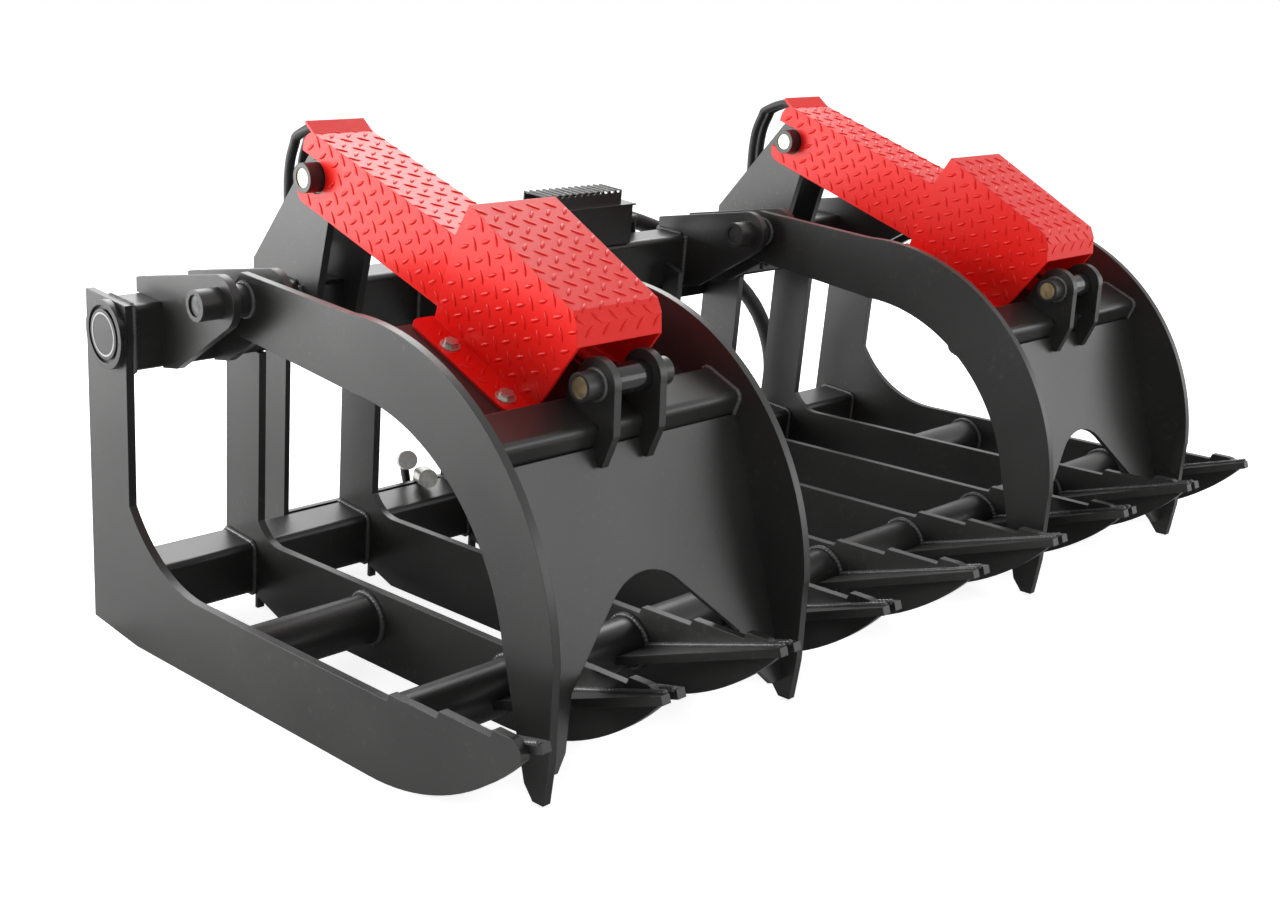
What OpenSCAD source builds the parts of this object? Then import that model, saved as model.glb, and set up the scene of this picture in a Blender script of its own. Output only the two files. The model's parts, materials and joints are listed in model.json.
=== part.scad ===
// Dual-lid root grapple for a skid steer.
// X runs across the machine, -Y points to the tine tips, +Z is up.
// The origin is on the ground, on the centre plane, under the lid hinge line.

/* [Frame] */
// Width over the two end plates
overall_w = 1828.8; // [1500:0.1:2200]
// Number of gaps between tines
tine_gaps = 8; // [8:2:8]
// Thickness of the tines, lugs and arms
plate_t = 12.7; // [9.5:0.1:16]
// Lean of the uprights towards the tips, in degrees
lean = 5.5; // [2:0.5:8]
// Distance from the hinge line back to the foot of the uprights
upright_foot_y = 210; // [190:1:230]
// Depth of an inner upright
upright_d = 96; // [90:1:104]
// Depth of an end plate's upright
end_upright_d = 118; // [110:1:126]
// Height of a tine's straight top edge
tine_h = 121.5; // [118:0.5:132]

/* [Tines] */
// Distance from the hinge line forward to the end of the flat sole
sole_front = 410; // [400:1:425]
// Radius of the curve under the nose
nose_under_r = 430; // [415:1:445]
// Distance from the hinge line forward to the nose
nose_reach = 717; // [712:1:722]
// Radius at the top of the nose
nose_top_r = 22; // [18:1:24]
// Distance from the hinge line forward to the first step
first_step = 457; // [450:1:465]
// Length of a step's tread
step_pitch = 101.5; // [95:0.5:104]
// Number of steps
step_count = 3; // [3:1:3]
// Rise of a step
step_rise = 10.3; // [8:0.1:12]
// Radius inside the corner of an inner tine
inner_corner_r = 68; // [55:1:80]
// Radius inside the corner of an end plate
end_corner_r = 220; // [190:5:235]

/* [Tubes] */
// Depth of the rectangular top tube
top_tube_d = 76.2; // [63.5:0.1:88.9]
// Height of the rectangular top tube
top_tube_h = 101.6; // [95:0.1:105]
// Height of the top tube's underside along the leaning uprights
top_tube_z = 441; // [430:1:450]
// Side of the lower square tube
low_tube_s = 88.9; // [80:0.1:92]
// Height of the lower tube's underside along the leaning uprights
low_tube_z = 24; // [20:1:28]
// Wall of the square tubes
tube_wall = 6.4; // [4.8:0.1:9.5]
// Outside corner radius of the square tubes
tube_corner_r = 11; // [8:0.5:14]
// Outside radius of the round tubes
round_tube_r = 38; // [33:0.5:42]
// Wall of the round tubes
round_tube_wall = 6.4; // [4.8:0.1:9.5]
// Distance from the hinge line forward to the front round tube
front_tube_y = 436; // [425:1:440]
// Distance from the hinge line forward to the short end tubes
stub_tube_y = 101; // [90:1:115]
// Height of the round tubes' centre
round_tube_z = 72; // [68:1:76]

/* [Tine gussets] */
// Width of a gusset at the front tube
gusset_w = 63; // [55:1:68]
// Width of a gusset at the tip
gusset_tip_w = 15; // [12:1:20]
// Slope of a gusset, in degrees
gusset_slope = 16.6; // [15:0.1:18]
// Distance from the hinge line forward to a gusset's end
gusset_reach = 736; // [730:1:742]
// Height of a gusset's top edge at its end
gusset_tip_z = 154; // [150:1:158]

/* [Lid hinge] */
// Height of the hinge line
hinge_z = 562; // [556:1:566]
// Radius of the hinge pins
hinge_pin_r = 15.875; // [14:0.005:18]
// Outside radius of the hinge bosses and collars
hinge_boss_r = 23; // [21:0.5:25]
// Length of a boss outside its lug
hinge_boss_l = 38; // [30:1:42]
// Space between the two lugs of a hinge
lug_gap = 74.3; // [70:0.1:80]
// Radius of a lug's nose
lug_nose_r = 40; // [36:1:43]
// Height of a lug above the top tube, at the back
lug_rise = 23; // [18:1:28]

/* [Lids] */
// Distance from an end of the grapple to the middle of a lid
lid_inset = 350; // [345:1:355]
// Distance between the middles of a lid's two arms
arm_spread = 480; // [474:1:484]
// Radius of an arm's outer edge
arm_outer_r = 391; // [384:1:396]
// Width of an arm's band, from its outer edge to its inner one
arm_band = 75; // [70:1:80]
// Forward distance from the hinge to the centre of the outer edge
arm_outer_y = 266; // [260:1:272]
// Height of the centre of the outer edge
arm_outer_z = 187; // [182:1:192]
// Forward distance from the hinge to the centre of the inner edge
arm_inner_y = 249; // [244:1:254]
// Height of the centre of the inner edge
arm_inner_z = 154; // [150:1:158]
// Gap between the ground and the tips of the arms
tip_clear = 4; // [3:0.5:8]
// Side of the lid's square cross tube
lid_tube_s = 76.2; // [70:0.1:80]
// Forward distance from the hinge to the cross tube
lid_tube_y = 477; // [472:1:482]
// Height of the cross tube's centre
lid_tube_z = 423; // [418:1:428]
// Tilt of the cross tube and the top plate, in degrees
lid_tilt = 24; // [22:0.5:26]
// Thickness of the sheet between the arms
sheet_t = 8; // [6:0.5:9.5]
// Length of the front panel down its slope
panel_l = 390; // [380:1:396]
// Slope of the front panel from upright, in degrees
panel_tilt = 15.8; // [15:0.1:16.5]
// Radius at the top of the panel's arch
arch_r = 87; // [78:1:90]
// Height of the arch above the ends of its legs
arch_h = 216; // [208:1:224]
// Half width of the arch at its knees
arch_knee = 162; // [155:1:166]
// Half width of the arch between the ends of its legs
arch_foot = 209; // [204:1:212]

/* [Cylinders] */
// Distance from the hinge line back to the tower pin
tower_pin_y = 98; // [94:1:102]
// Height of the tower pin
tower_pin_z = 715; // [710:1:720]
// Forward distance from the hinge line to the clevis pin
clevis_pin_y = 521; // [518:1:524]
// Height of the clevis pin
clevis_pin_z = 499; // [496:1:502]
// Radius of the cylinder pins
cyl_pin_r = 15; // [12.7:0.1:16]
// Outside radius of the tower bosses
tower_boss_r = 23; // [21:0.5:24]
// Outside radius of the clevis bosses
clevis_boss_r = 20; // [18.5:0.5:21]
// Length of the bosses outside the towers and the clevis
pin_boss_l = 31; // [26:1:34]
// Half width over a tower's two plates
tower_half_w = 47; // [44:0.5:48]
// Half width over a clevis
clevis_half_w = 49; // [46:0.5:52]
// Bore of a cylinder
cyl_bore_r = 31.75; // [31:0.05:33]
// Outside radius of a barrel
barrel_r = 38.1; // [37:0.1:40]
// Distance from the tower pin to the end of the barrel
barrel_l = 450; // [440:1:455]
// Radius of a rod
rod_r = 15.9; // [14:0.1:16]
// Length of a rod from its pin
rod_l = 418; // [400:1:425]
// Outside radius of the rod and barrel eyes
eye_r = 22; // [20:0.5:24]

/* [Guards] */
// Thickness of the guards' tread plate
guard_t = 4.8; // [3.5:0.1:6]
// Half width of the upper guard
upper_half_w = 53.5; // [52:0.5:56]
// Height of the upper guard above the cylinder's axis
upper_top = 62; // [58:1:66]
// Depth of the upper guard below the cylinder's axis
upper_drop = 52; // [46:1:53]
// Distance from the tower pin to the upper guard's front end
upper_l = 420; // [400:1:430]
// Half width of the lower guard
lower_half_w = 78; // [74:0.5:82]
// Height of the lower guard at its back, above the cross tube's centre
lower_back_h = 194; // [188:1:200]
// Height of the lower guard at its front fold
lower_front_h = 172; // [166:1:178]
// Width of the lower guard's bolting flanges
flange_w = 44; // [38:1:50]
// Diameter of the guard bolts
guard_bolt_d = 12; // [10:0.5:14]

/* [Machine coupler] */
// Width over the coupler's side plates
coupler_w = 1149; // [1130:1:1160]
// Depth of the side plates behind the uprights
coupler_d = 62; // [55:1:70]
// Thickness of the coupler's plates
coupler_t = 9.5; // [8:0.5:12]
// Distance from the coupler's side to the middle of a latch slot
latch_inset = 69.5; // [60:0.5:80]
// Length of a latch slot across the machine
latch_slot_l = 64; // [56:1:70]
// Width of a latch slot
latch_slot_w = 32; // [28:1:36]

/* [Step and badges] */
// Width of the hose box under the step
box_w = 240; // [220:1:260]
// Height of the hose box
box_h = 76; // [70:1:84]
// Width of the step's tread
step_w = 190; // [170:1:210]
// Height of the step's tread strip
step_h = 26; // [22:1:30]
// Outside radius of an end badge
badge_r = 53; // [45:1:55]
// Thickness of an end badge
badge_t = 11; // [8:0.5:13]

/* [Hoses] */
// Outside radius of the cylinder hoses
hose_r = 8; // [7:0.5:8.5]
// Outside radius of the sleeve round the two supply hoses
sleeve_r = 17; // [16:0.5:18]
// Outside radius of the steel lines behind the top tube
line_r = 6.35; // [5:0.05:7]
// Outside radius of the quick couplers
quick_r = 17; // [15:0.5:18]
// Length of a quick coupler
quick_l = 62; // [50:1:75]

/* [Hidden] */

// Overrun of every cut
over = 1;
// Running clearance of a pin in its bore, on the radius
run_clear = 0.05;
// Gap between neighbouring faces of different bodies
side_clear = 0.3;
// Roundness of true circles and of faceted rounds
$fn = 64;

pitch = (overall_w - plate_t) / tine_gaps;
half_w = overall_w / 2;
lid_x = half_w - lid_inset;
arm_inner_r = arm_outer_r - arm_band;
latch_spacing = coupler_w - 2 * latch_inset;
arm_x = arm_spread / 2;
top_tube_top = top_tube_z + top_tube_h;
low_tube_top = low_tube_z + low_tube_s;
end_plate_top = top_tube_top + 2;
cyl_slope = atan2(tower_pin_z - clevis_pin_z, tower_pin_y + clevis_pin_y);
cyl_l = sqrt(pow(tower_pin_y + clevis_pin_y, 2) + pow(tower_pin_z - clevis_pin_z, 2));

black = [0.09, 0.09, 0.1];
red = [0.85, 0.1, 0.06];
zinc = [0.75, 0.74, 0.7];
gold = [0.78, 0.62, 0.25];
rubber = [0.05, 0.05, 0.05];
steel = [0.6, 0.6, 0.62];

// A plate whose outline is drawn in Y and Z, from x to x + t
module side_plate(x, t) {
    translate([x, 0, 0]) rotate([90, 0, 90]) linear_extrude(t) children();
}

// The frame that leans with the uprights, for solids and for outlines in Y and Z
module leaning() {
    translate([0, upright_foot_y, 0]) rotate([lean, 0, 0]) children();
}
module leaning_2d() {
    translate([upright_foot_y, 0]) rotate(lean) children();
}

// The frame of a lid's cross tube: Y runs back along the top plate
module lid_tube_frame() {
    translate([0, -lid_tube_y, lid_tube_z]) rotate([lid_tilt, 0, 0]) children();
}
module lid_tube_frame_2d() {
    translate([-lid_tube_y, lid_tube_z]) rotate(lid_tilt) children();
}

// The frame of a cylinder: -Y runs from the tower pin to the clevis pin
module cyl_frame() {
    translate([0, tower_pin_y, tower_pin_z]) rotate([cyl_slope, 0, 0]) children();
}

// Mirror a left-hand piece to the right-hand side
module side(s) {
    if (s < 0) children();
    else mirror([1, 0, 0]) children();
}

// A left-hand lid, drawn about its own middle plane
module on_lid(s) {
    side(s) translate([-lid_x, 0, 0]) children();
}

// What a corner of radius r loses, with the corner at the origin
module corner_cut_2d(r) {
    difference() {
        translate([-over, -over]) square(r + over);
        translate([r, r]) circle(r);
    }
}

// A rectangle with rounded corners
module round_rect_2d(w, h, r) {
    difference() {
        square([w, h]);
        corner_cut_2d(r);
        translate([w, 0]) rotate(90) corner_cut_2d(r);
        translate([w, h]) rotate(180) corner_cut_2d(r);
        translate([0, h]) rotate(270) corner_cut_2d(r);
    }
}

// A rectangular tube section with its corner at the origin
module tube_section_2d(w, h, r) {
    difference() {
        round_rect_2d(w, h, r);
        translate([tube_wall, tube_wall])
            round_rect_2d(w - 2 * tube_wall, h - 2 * tube_wall, r - tube_wall);
    }
}

// The tines

step_ys = [for (i = [0:step_count - 1]) -first_step - i * step_pitch];
step_zs = [for (i = [0:step_count - 1]) tine_h + (i + 1) * step_rise];
nose_top_z = step_zs[step_count - 1];
step_lean = 5;

// The beam of a tine, with steps on its top edge and a curve under its nose
module beam_2d(back_y) {
    steps = [for (i = [0:step_count - 1]) each [[step_ys[i], step_zs[i] - step_rise],
        [step_ys[i] - step_lean, step_zs[i]]]];
    difference() {
        union() {
            translate([-sole_front, 0]) square([sole_front + back_y, tine_h]);
            intersection() {
                translate([-sole_front, nose_under_r]) circle(nose_under_r, $fn = 128);
                polygon(concat([[-sole_front + over, 0], [-sole_front + over, tine_h]], steps,
                    [[-nose_reach, nose_top_z], [-nose_reach, 0]]));
            }
        }
        translate([-nose_reach, nose_top_z]) rotate(270) corner_cut_2d(nose_top_r);
    }
}

// The fillet between the upright's front edge and the beam's top edge
module inner_corner_2d(r) {
    front_y = upright_foot_y - tine_h * tan(lean);
    reach = r * tan(45 - lean / 2);
    lift = reach * cos(lean);
    difference() {
        polygon([[front_y - reach, tine_h], [front_y + over, tine_h - over],
            [front_y + over, tine_h + over], [front_y - reach * sin(lean), tine_h + lift],
            [front_y - reach, tine_h + over]]);
        translate([front_y - reach, tine_h + r]) circle(r, $fn = 128);
    }
}

// An inner tine: the beam, the upright between the tubes, and the tubes' seats
wide_front = 40;
wide_rise = 54;
wide_chamfer = 11;
heel_rise = 22;
heel_l = 62;
module inner_tine_2d(wide) {
    heel_y = upright_foot_y;
    difference() {
        union() {
            beam_2d(heel_y - heel_l);
            leaning_2d() square([upright_d, top_tube_z]);
            polygon([[heel_y - heel_l - over, 0], [heel_y - heel_l, 0],
                [heel_y + over, heel_rise], [heel_y + over, tine_h],
                [heel_y - heel_l - over, tine_h]]);
            inner_corner_2d(inner_corner_r);
            if (wide) wide_front_2d();
        }
        leaning_2d() translate([upright_d - low_tube_s, -tine_h])
            square([low_tube_s + over, low_tube_top + tine_h]);
        if (wide) leaning_2d() translate([0, top_tube_z])
            square([upright_d + over, top_tube_h]);
        translate([-front_tube_y, round_tube_z]) circle(round_tube_r + run_clear);
    }
}

// The extra depth in front of the three middle uprights, up over the tube's face
module wide_front_2d() {
    leaning_2d() polygon([[over, tine_h], [over, top_tube_z + wide_rise],
        [-wide_front, top_tube_z + wide_rise - wide_chamfer], [-wide_front, tine_h + wide_front]]);
}

// An end plate: one deep C-shaped plate that closes the ends of the tubes
heel_chamfer_l = 126;
heel_chamfer_h = 14;
heel_chamfer_front = 17;
module end_plate_2d() {
    start = upright_foot_y - heel_chamfer_front;
    difference() {
        union() {
            beam_2d(upright_foot_y);
            leaning_2d() square([end_upright_d, end_plate_top]);
            inner_corner_2d(end_corner_r);
        }
        polygon([[start, 0], [start, -tine_h], [start + 2 * heel_chamfer_l, -tine_h],
            [start + 2 * heel_chamfer_l, 2 * heel_chamfer_h]]);
    }
}

module end_plate(s) {
    color(black) side(s) side_plate(-half_w, plate_t) end_plate_2d();
}

module tine(i) {
    color(black) side_plate(-half_w + i * pitch, plate_t)
        inner_tine_2d(abs(i - tine_gaps / 2) <= 1);
}

// A tapered gusset on the +X face of a tine, with its top face on the slope
module gusset() {
    run = (gusset_reach - front_tube_y) / cos(gusset_slope);
    difference() {
        translate([0, -gusset_reach, gusset_tip_z]) rotate([-gusset_slope, 0, 0])
            translate([0, 0, -plate_t]) linear_extrude(plate_t)
                polygon([[0, 0], [gusset_tip_w, 0],
                    [gusset_w, run - round_tube_r], [gusset_w, run], [0, run]]);
        translate([-over, -front_tube_y, round_tube_z]) rotate([0, 90, 0])
            cylinder(r = round_tube_r, h = gusset_w + 2 * over);
        translate([-over, -front_tube_y, 0]) cube([gusset_w + 2 * over, round_tube_r * 2, tine_h]);
    }
}

module tine_gussets() {
    color(black) for (i = [0:tine_gaps]) translate([-half_w + i * pitch, 0, 0]) {
        if (i < tine_gaps) translate([plate_t, 0, 0]) gusset();
        if (i > 0) mirror([1, 0, 0]) gusset();
    }
}

// The tubes

module top_tube() {
    color(black) leaning() translate([0, 0, top_tube_z])
        side_plate(-half_w + plate_t, overall_w - 2 * plate_t)
            tube_section_2d(top_tube_d, top_tube_h, tube_corner_r);
}

module lower_tube() {
    color(black) leaning() translate([0, upright_d - low_tube_s, low_tube_z])
        side_plate(-half_w + plate_t, overall_w - 2 * plate_t)
            tube_section_2d(low_tube_s, low_tube_s, tube_corner_r);
}

// A round tube along X between two places
module round_tube(x, l, y) {
    translate([x, y, round_tube_z]) rotate([0, 90, 0]) difference() {
        cylinder(r = round_tube_r, h = l);
        translate([0, 0, -over]) cylinder(r = round_tube_r - round_tube_wall, h = l + 2 * over);
    }
}

module front_tube() {
    color(black) round_tube(-half_w + plate_t, overall_w - 2 * plate_t, -front_tube_y);
}

module stub_tubes() {
    color(black) for (s = [-1, 1]) side(s)
        round_tube(-half_w + plate_t, pitch - plate_t, -stub_tube_y);
}

// The lid hinges

lug_foot = 40;
lug_foot_z = 10;
pin_recess = 3;
pin_end = 6;

// One lug: it sits on the top tube, laps its front face and carries the pin
module lug_2d() {
    difference() {
        union() {
            translate([0, hinge_z]) circle(lug_nose_r);
            leaning_2d() polygon([[top_tube_d, top_tube_top - over], [top_tube_d, top_tube_top + lug_rise],
                lug_tangent(1), lug_centre, lug_tangent(-1),
                [-lug_foot, top_tube_z + lug_foot_z], [0, top_tube_z + over],
                [over, top_tube_top - over]]);
        }
        leaning_2d() translate([0, top_tube_z]) square([top_tube_d + over, top_tube_h]);
        translate([0, hinge_z]) circle(hinge_pin_r + run_clear);
    }
}

// The hinge's place in the leaning frame, and the lug's tangent points on its nose
lug_centre = [-upright_foot_y * cos(lean) + hinge_z * sin(lean),
    upright_foot_y * sin(lean) + hinge_z * cos(lean)];
function tangent_point(c, r, p, turn) =
    let (d = norm(p - c), base = atan2(p[1] - c[1], p[0] - c[0]), a = base + turn * acos(r / d))
    [c[0] + r * cos(a), c[1] + r * sin(a)];
function lug_tangent(turn) = turn > 0
    ? tangent_point(lug_centre, lug_nose_r, [top_tube_d, top_tube_top + lug_rise], 1)
    : tangent_point(lug_centre, lug_nose_r, [-lug_foot, top_tube_z + lug_foot_z], -1);

// A ring along X, starting at x
module ring(x, l, y, z, outer_r, inner_r) {
    translate([x, y, z]) rotate([0, 90, 0]) difference() {
        cylinder(r = outer_r, h = l);
        translate([0, 0, -over]) cylinder(r = inner_r, h = l + 2 * over);
    }
}

// The two lugs of one hinge and the boss outside the outer one
module hinge_lugs(s) {
    color(black) on_lid(s) for (a = [-1, 1]) side(a) translate([-arm_x, 0, 0]) {
        side_plate(-lug_gap / 2 - plate_t, plate_t) lug_2d();
        side_plate(lug_gap / 2, plate_t) lug_2d();
        ring(-lug_gap / 2 - plate_t - hinge_boss_l, hinge_boss_l, 0, hinge_z,
            hinge_boss_r, hinge_pin_r + run_clear);
    }
}

module hinge_pins() {
    start = -lug_gap / 2 - plate_t - hinge_boss_l + pin_recess;
    color(steel) for (s = [-1, 1]) on_lid(s) for (a = [-1, 1]) side(a)
        translate([-arm_x + start, 0, hinge_z]) rotate([0, 90, 0])
            cylinder(r = hinge_pin_r, h = lug_gap / 2 + plate_t + pin_end - start);
}

// The cylinder towers

tower_r = 40;
tower_back = 61;
tower_back_top = 15;
tower_back_foot = 30;
tower_back_toe = 45;
tower_front = 30;
tower_front_foot = 62;
tower_front_toe = 88;

function to_leaning(y, z) = [(y - upright_foot_y) * cos(lean) + z * sin(lean),
    -(y - upright_foot_y) * sin(lean) + z * cos(lean)];
tower_centre = to_leaning(tower_pin_y, tower_pin_z);
tower_back_p = [top_tube_d + tower_back, top_tube_top + tower_back_top];
tower_front_p = [-tower_front, top_tube_top - tower_front_foot];

// One tower plate: it straddles the top tube and narrows to the pin
module tower_2d() {
    difference() {
        leaning_2d() union() {
            translate(tower_centre) circle(tower_r);
            polygon([tower_centre, tangent_point(tower_centre, tower_r, tower_front_p, -1),
                tower_front_p, [0, top_tube_top - tower_front_toe],
                [top_tube_d / 2, top_tube_top - tower_back_toe], [top_tube_d, top_tube_top - tower_back_toe],
                [tower_back_p[0], top_tube_top - tower_back_foot], tower_back_p,
                tangent_point(tower_centre, tower_r, tower_back_p, 1)]);
        }
        leaning_2d() translate([0, top_tube_z]) square([top_tube_d, top_tube_h]);
        translate([tower_pin_y, tower_pin_z]) circle(cyl_pin_r + run_clear);
    }
}

module tower(s) {
    color(black) on_lid(s) for (a = [-1, 1]) side(a) {
        side_plate(-tower_half_w, plate_t) tower_2d();
        ring(-tower_half_w - pin_boss_l, pin_boss_l, tower_pin_y, tower_pin_z,
            tower_boss_r, cyl_pin_r + run_clear);
    }
}

module tower_pins() {
    l = 2 * (tower_half_w + pin_boss_l - pin_recess / 2);
    color(gold) for (s = [-1, 1]) on_lid(s)
        translate([-l / 2, tower_pin_y, tower_pin_z]) rotate([0, 90, 0]) cylinder(r = cyl_pin_r, h = l);
}

// The machine coupler on the back

hook_drop = 34;
hook_angle = 45;
coupler_bar_h = 105;
coupler_rise = 48;
coupler_top_z = top_tube_z + coupler_rise;
ledge_d = 66;
spacer_drop = 40;

// The upper bar and the hook over the machine's top edge
module coupler_top() {
    color(black) leaning() translate([0, upright_d, 0])
        side_plate(-coupler_w / 2 + coupler_t, coupler_w - 2 * coupler_t) union() {
            translate([0, coupler_top_z - coupler_bar_h]) square([coupler_t, coupler_bar_h]);
            polygon([[0, coupler_top_z], [coupler_t, coupler_top_z - coupler_t],
                [coupler_t + hook_drop, coupler_top_z - coupler_t - hook_drop],
                [coupler_t + hook_drop + coupler_t, coupler_top_z - hook_drop],
                [2 * coupler_t, coupler_top_z + coupler_t / 2], [0, coupler_top_z + coupler_t / 2]]);
            translate([top_tube_d - upright_d, coupler_top_z - spacer_drop])
                square([upright_d - top_tube_d, coupler_t]);
        }
}

module coupler_sides() {
    top_z = coupler_top_z + coupler_t / 2;
    color(black) leaning() for (s = [-1, 1]) side(s)
        side_plate(-coupler_w / 2, coupler_t) difference() {
            polygon([[upright_d, low_tube_z], [upright_d + coupler_d, low_tube_z],
                [upright_d + coupler_d, top_z], [top_tube_d, top_z], [top_tube_d, top_tube_z + over],
                [upright_d, top_tube_z + over]]);
            translate([upright_d + coupler_d, top_z]) rotate(180) corner_cut_2d(coupler_d / 2);
            translate([upright_d + coupler_d, low_tube_z]) rotate(90) corner_cut_2d(coupler_d / 3);
        }
}

// The lower bar and the level ledge with its two latch slots
module coupler_ledge() {
    bar_y = upright_foot_y + upright_d * cos(lean) - low_tube_z * sin(lean);
    ledge_z = low_tube_z * cos(lean) + (upright_d + coupler_t) * sin(lean);
    color(black) difference() {
        side_plate(-coupler_w / 2 + coupler_t, coupler_w - 2 * coupler_t) union() {
            leaning_2d() translate([upright_d, low_tube_z]) square([coupler_t, low_tube_s]);
            translate([bar_y + coupler_t / 2, ledge_z]) square([ledge_d, coupler_t]);
        }
        for (s = [-1, 1])
            translate([s * latch_spacing / 2, bar_y + coupler_t + ledge_d / 2, ledge_z - over])
                linear_extrude(coupler_t + 2 * over) slot_2d(latch_slot_l, latch_slot_w);
    }
}

// A slot with round ends, along X
module slot_2d(l, w) {
    square([l - w, w], center = true);
    for (e = [-1, 1]) translate([e * (l - w) / 2, 0]) circle(w / 2);
}

// The hose box, the step on it and the end badges

box_wall = 3;
box_d = 74;
box_lid_lip = 4;
box_hole_gap = 2;
module hose_box() {
    color(black) leaning() translate([-box_w / 2, 0, top_tube_top]) difference() {
        union() {
            cube([box_w, box_d, box_h]);
            translate([-box_lid_lip, -box_lid_lip, box_h - box_wall])
                cube([box_w + 2 * box_lid_lip, box_d + 2 * box_lid_lip, box_wall]);
        }
        translate([box_wall, box_wall, -over])
            cube([box_w - 2 * box_wall, box_d - 2 * box_wall, box_h - box_wall + over]);
        for (x = [0, box_w]) translate([x - box_wall - over, box_d / 2, box_h / 2]) rotate([0, 90, 0])
            cylinder(r = sleeve_r + box_hole_gap, h = 2 * (box_wall + over));
        translate([box_w / 2, box_d + over, box_h / 2]) rotate([90, 0, 0])
            cylinder(r = sleeve_r + box_hole_gap, h = box_wall + 2 * over);
    }
}

tread_d = 60;
tread_wall = 3;
tooth_count = 12;
tooth_share = 0.36;
module step_tread() {
    tooth = step_w / tooth_count;
    color(black) leaning() translate([-step_w / 2, (box_d - tread_d) / 2, top_tube_top + box_h])
        difference() {
            cube([step_w, tread_d, step_h]);
            translate([-over, tread_wall, -over])
                cube([step_w + 2 * over, tread_d - 2 * tread_wall, step_h - tread_wall + over]);
            for (i = [0:tooth_count - 1]) translate([(i + 0.5) * tooth, -over, step_h])
                rotate([-90, 0, 0]) cylinder(r = tooth * tooth_share, h = tread_d + 2 * over);
        }
}

badge_ring_w = 9;
badge_slot_w = 6;
badge_y = 209;
badge_z = 494;
module end_badges() {
    place = to_leaning(badge_y, badge_z);
    color(black) for (s = [-1, 1]) side(s) leaning()
        translate([-half_w, place[0], place[1]]) rotate([0, -90, 0]) {
            difference() {
                cylinder(r = badge_r, h = badge_t);
                translate([0, 0, badge_t / 2]) difference() {
                    cylinder(r = badge_r - badge_ring_w, h = badge_t);
                    translate([0, 0, -over])
                    cylinder(r = badge_r - badge_ring_w - badge_slot_w, h = badge_t + 2 * over);
                }
            }
        }
}

// The lids

arm_back_top = 38;
arm_back_under = 56;
arm_tip_w = 20;
seam = 8;
seam_inset = 0.5;
tip_knee_z = 24;
tip_lead_z = 67;
tip_back = 602;
tip_lead = 649;
tip_front = 638;

// One arm, in Y and Z: a quarter disc with a smaller one cut out, a bar to the hinge and a tip
module arm_2d() {
    outer_top = arm_outer_z + sqrt(pow(arm_outer_r, 2) - pow(arm_outer_y - arm_inner_y, 2));
    inner_low = arm_inner_y + sqrt(pow(arm_inner_r, 2) - pow(arm_outer_z - arm_inner_z, 2));
    difference() {
        union() {
            intersection() {
                translate([-arm_outer_y, arm_outer_z]) circle(arm_outer_r, $fn = 160);
                translate([-arm_outer_y - arm_outer_r - over, arm_outer_z])
                    square([arm_outer_y + arm_outer_r + over - arm_inner_y, arm_outer_r + over]);
            }
            polygon([[-arm_inner_y - seam, arm_inner_z + arm_inner_r + seam_inset],
                [arm_back_top / 2, hinge_z - arm_back_under],
                [arm_back_top * 0.9, hinge_z - arm_back_under * 0.7],
                [arm_back_top * 0.9, hinge_z + arm_back_top / 3],
                [arm_back_top / 4, hinge_z + arm_back_top],
                [-arm_inner_y - seam, outer_top - seam_inset]]);
            polygon([[-arm_outer_y - arm_outer_r + seam_inset, arm_outer_z + seam],
                [-tip_lead, tip_lead_z], [-tip_front, tip_clear], [-tip_front + arm_tip_w, tip_clear],
                [-tip_back, tip_knee_z], [-inner_low - seam_inset, arm_outer_z + seam]]);
        }
        intersection() {
            translate([-arm_inner_y, arm_inner_z]) circle(arm_inner_r, $fn = 160);
            translate([-arm_inner_y - arm_inner_r - over, arm_outer_z - over])
                square([arm_inner_r + 2 * over, arm_inner_r]);
        }
        translate([0, hinge_z]) circle(hinge_pin_r + run_clear);
    }
}

module arm(s, a) {
    color(black) on_lid(s) side(a) side_plate(-arm_x - plate_t / 2, plate_t) arm_2d();
}

module arm_collars(s) {
    l = lug_gap / 2 - plate_t / 2 - side_clear;
    color(black) on_lid(s) for (a = [-1, 1]) side(a) translate([-arm_x, 0, 0]) {
        ring(-plate_t / 2 - l, l, 0, hinge_z, hinge_boss_r, hinge_pin_r + run_clear);
        ring(plate_t / 2, l, 0, hinge_z, hinge_boss_r, hinge_pin_r + run_clear);
    }
}

lid_inner = arm_spread - plate_t;
module lid_tube(s) {
    color(black) on_lid(s) lid_tube_frame() translate([0, -lid_tube_s / 2, -lid_tube_s / 2])
        side_plate(-lid_inner / 2, lid_inner) tube_section_2d(lid_tube_s, lid_tube_s, tube_corner_r);
}

// The front panel's slab and its arch, drawn down the slope from the tube's front face
panel_seat = 2;
knee_h = 92;
ankle_h = 21;
ankle_share = 0.6;
module panel_frame() {
    y = -lid_tube_y - lid_tube_s / 2 * cos(lid_tilt) + panel_seat * sin(lid_tilt);
    z = lid_tube_z - lid_tube_s / 2 * sin(lid_tilt) - panel_seat * cos(lid_tilt);
    translate([0, y, z]) rotate([-panel_tilt, 0, 0]) children();
}
module arch_2d() {
    centre_h = arch_h - arch_r;
    d = arch_r * sin(45);
    ankle = arch_knee + ankle_share * (arch_foot - arch_knee);
    translate([0, -panel_l]) union() {
        translate([0, centre_h]) circle(arch_r);
        polygon([[-arch_foot, -over], [arch_foot, -over], [arch_foot, 0], [ankle, ankle_h],
            [arch_knee, knee_h], [d, centre_h + d], [-d, centre_h + d], [-arch_knee, knee_h],
            [-ankle, ankle_h], [-arch_foot, 0]]);
    }
}
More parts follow.
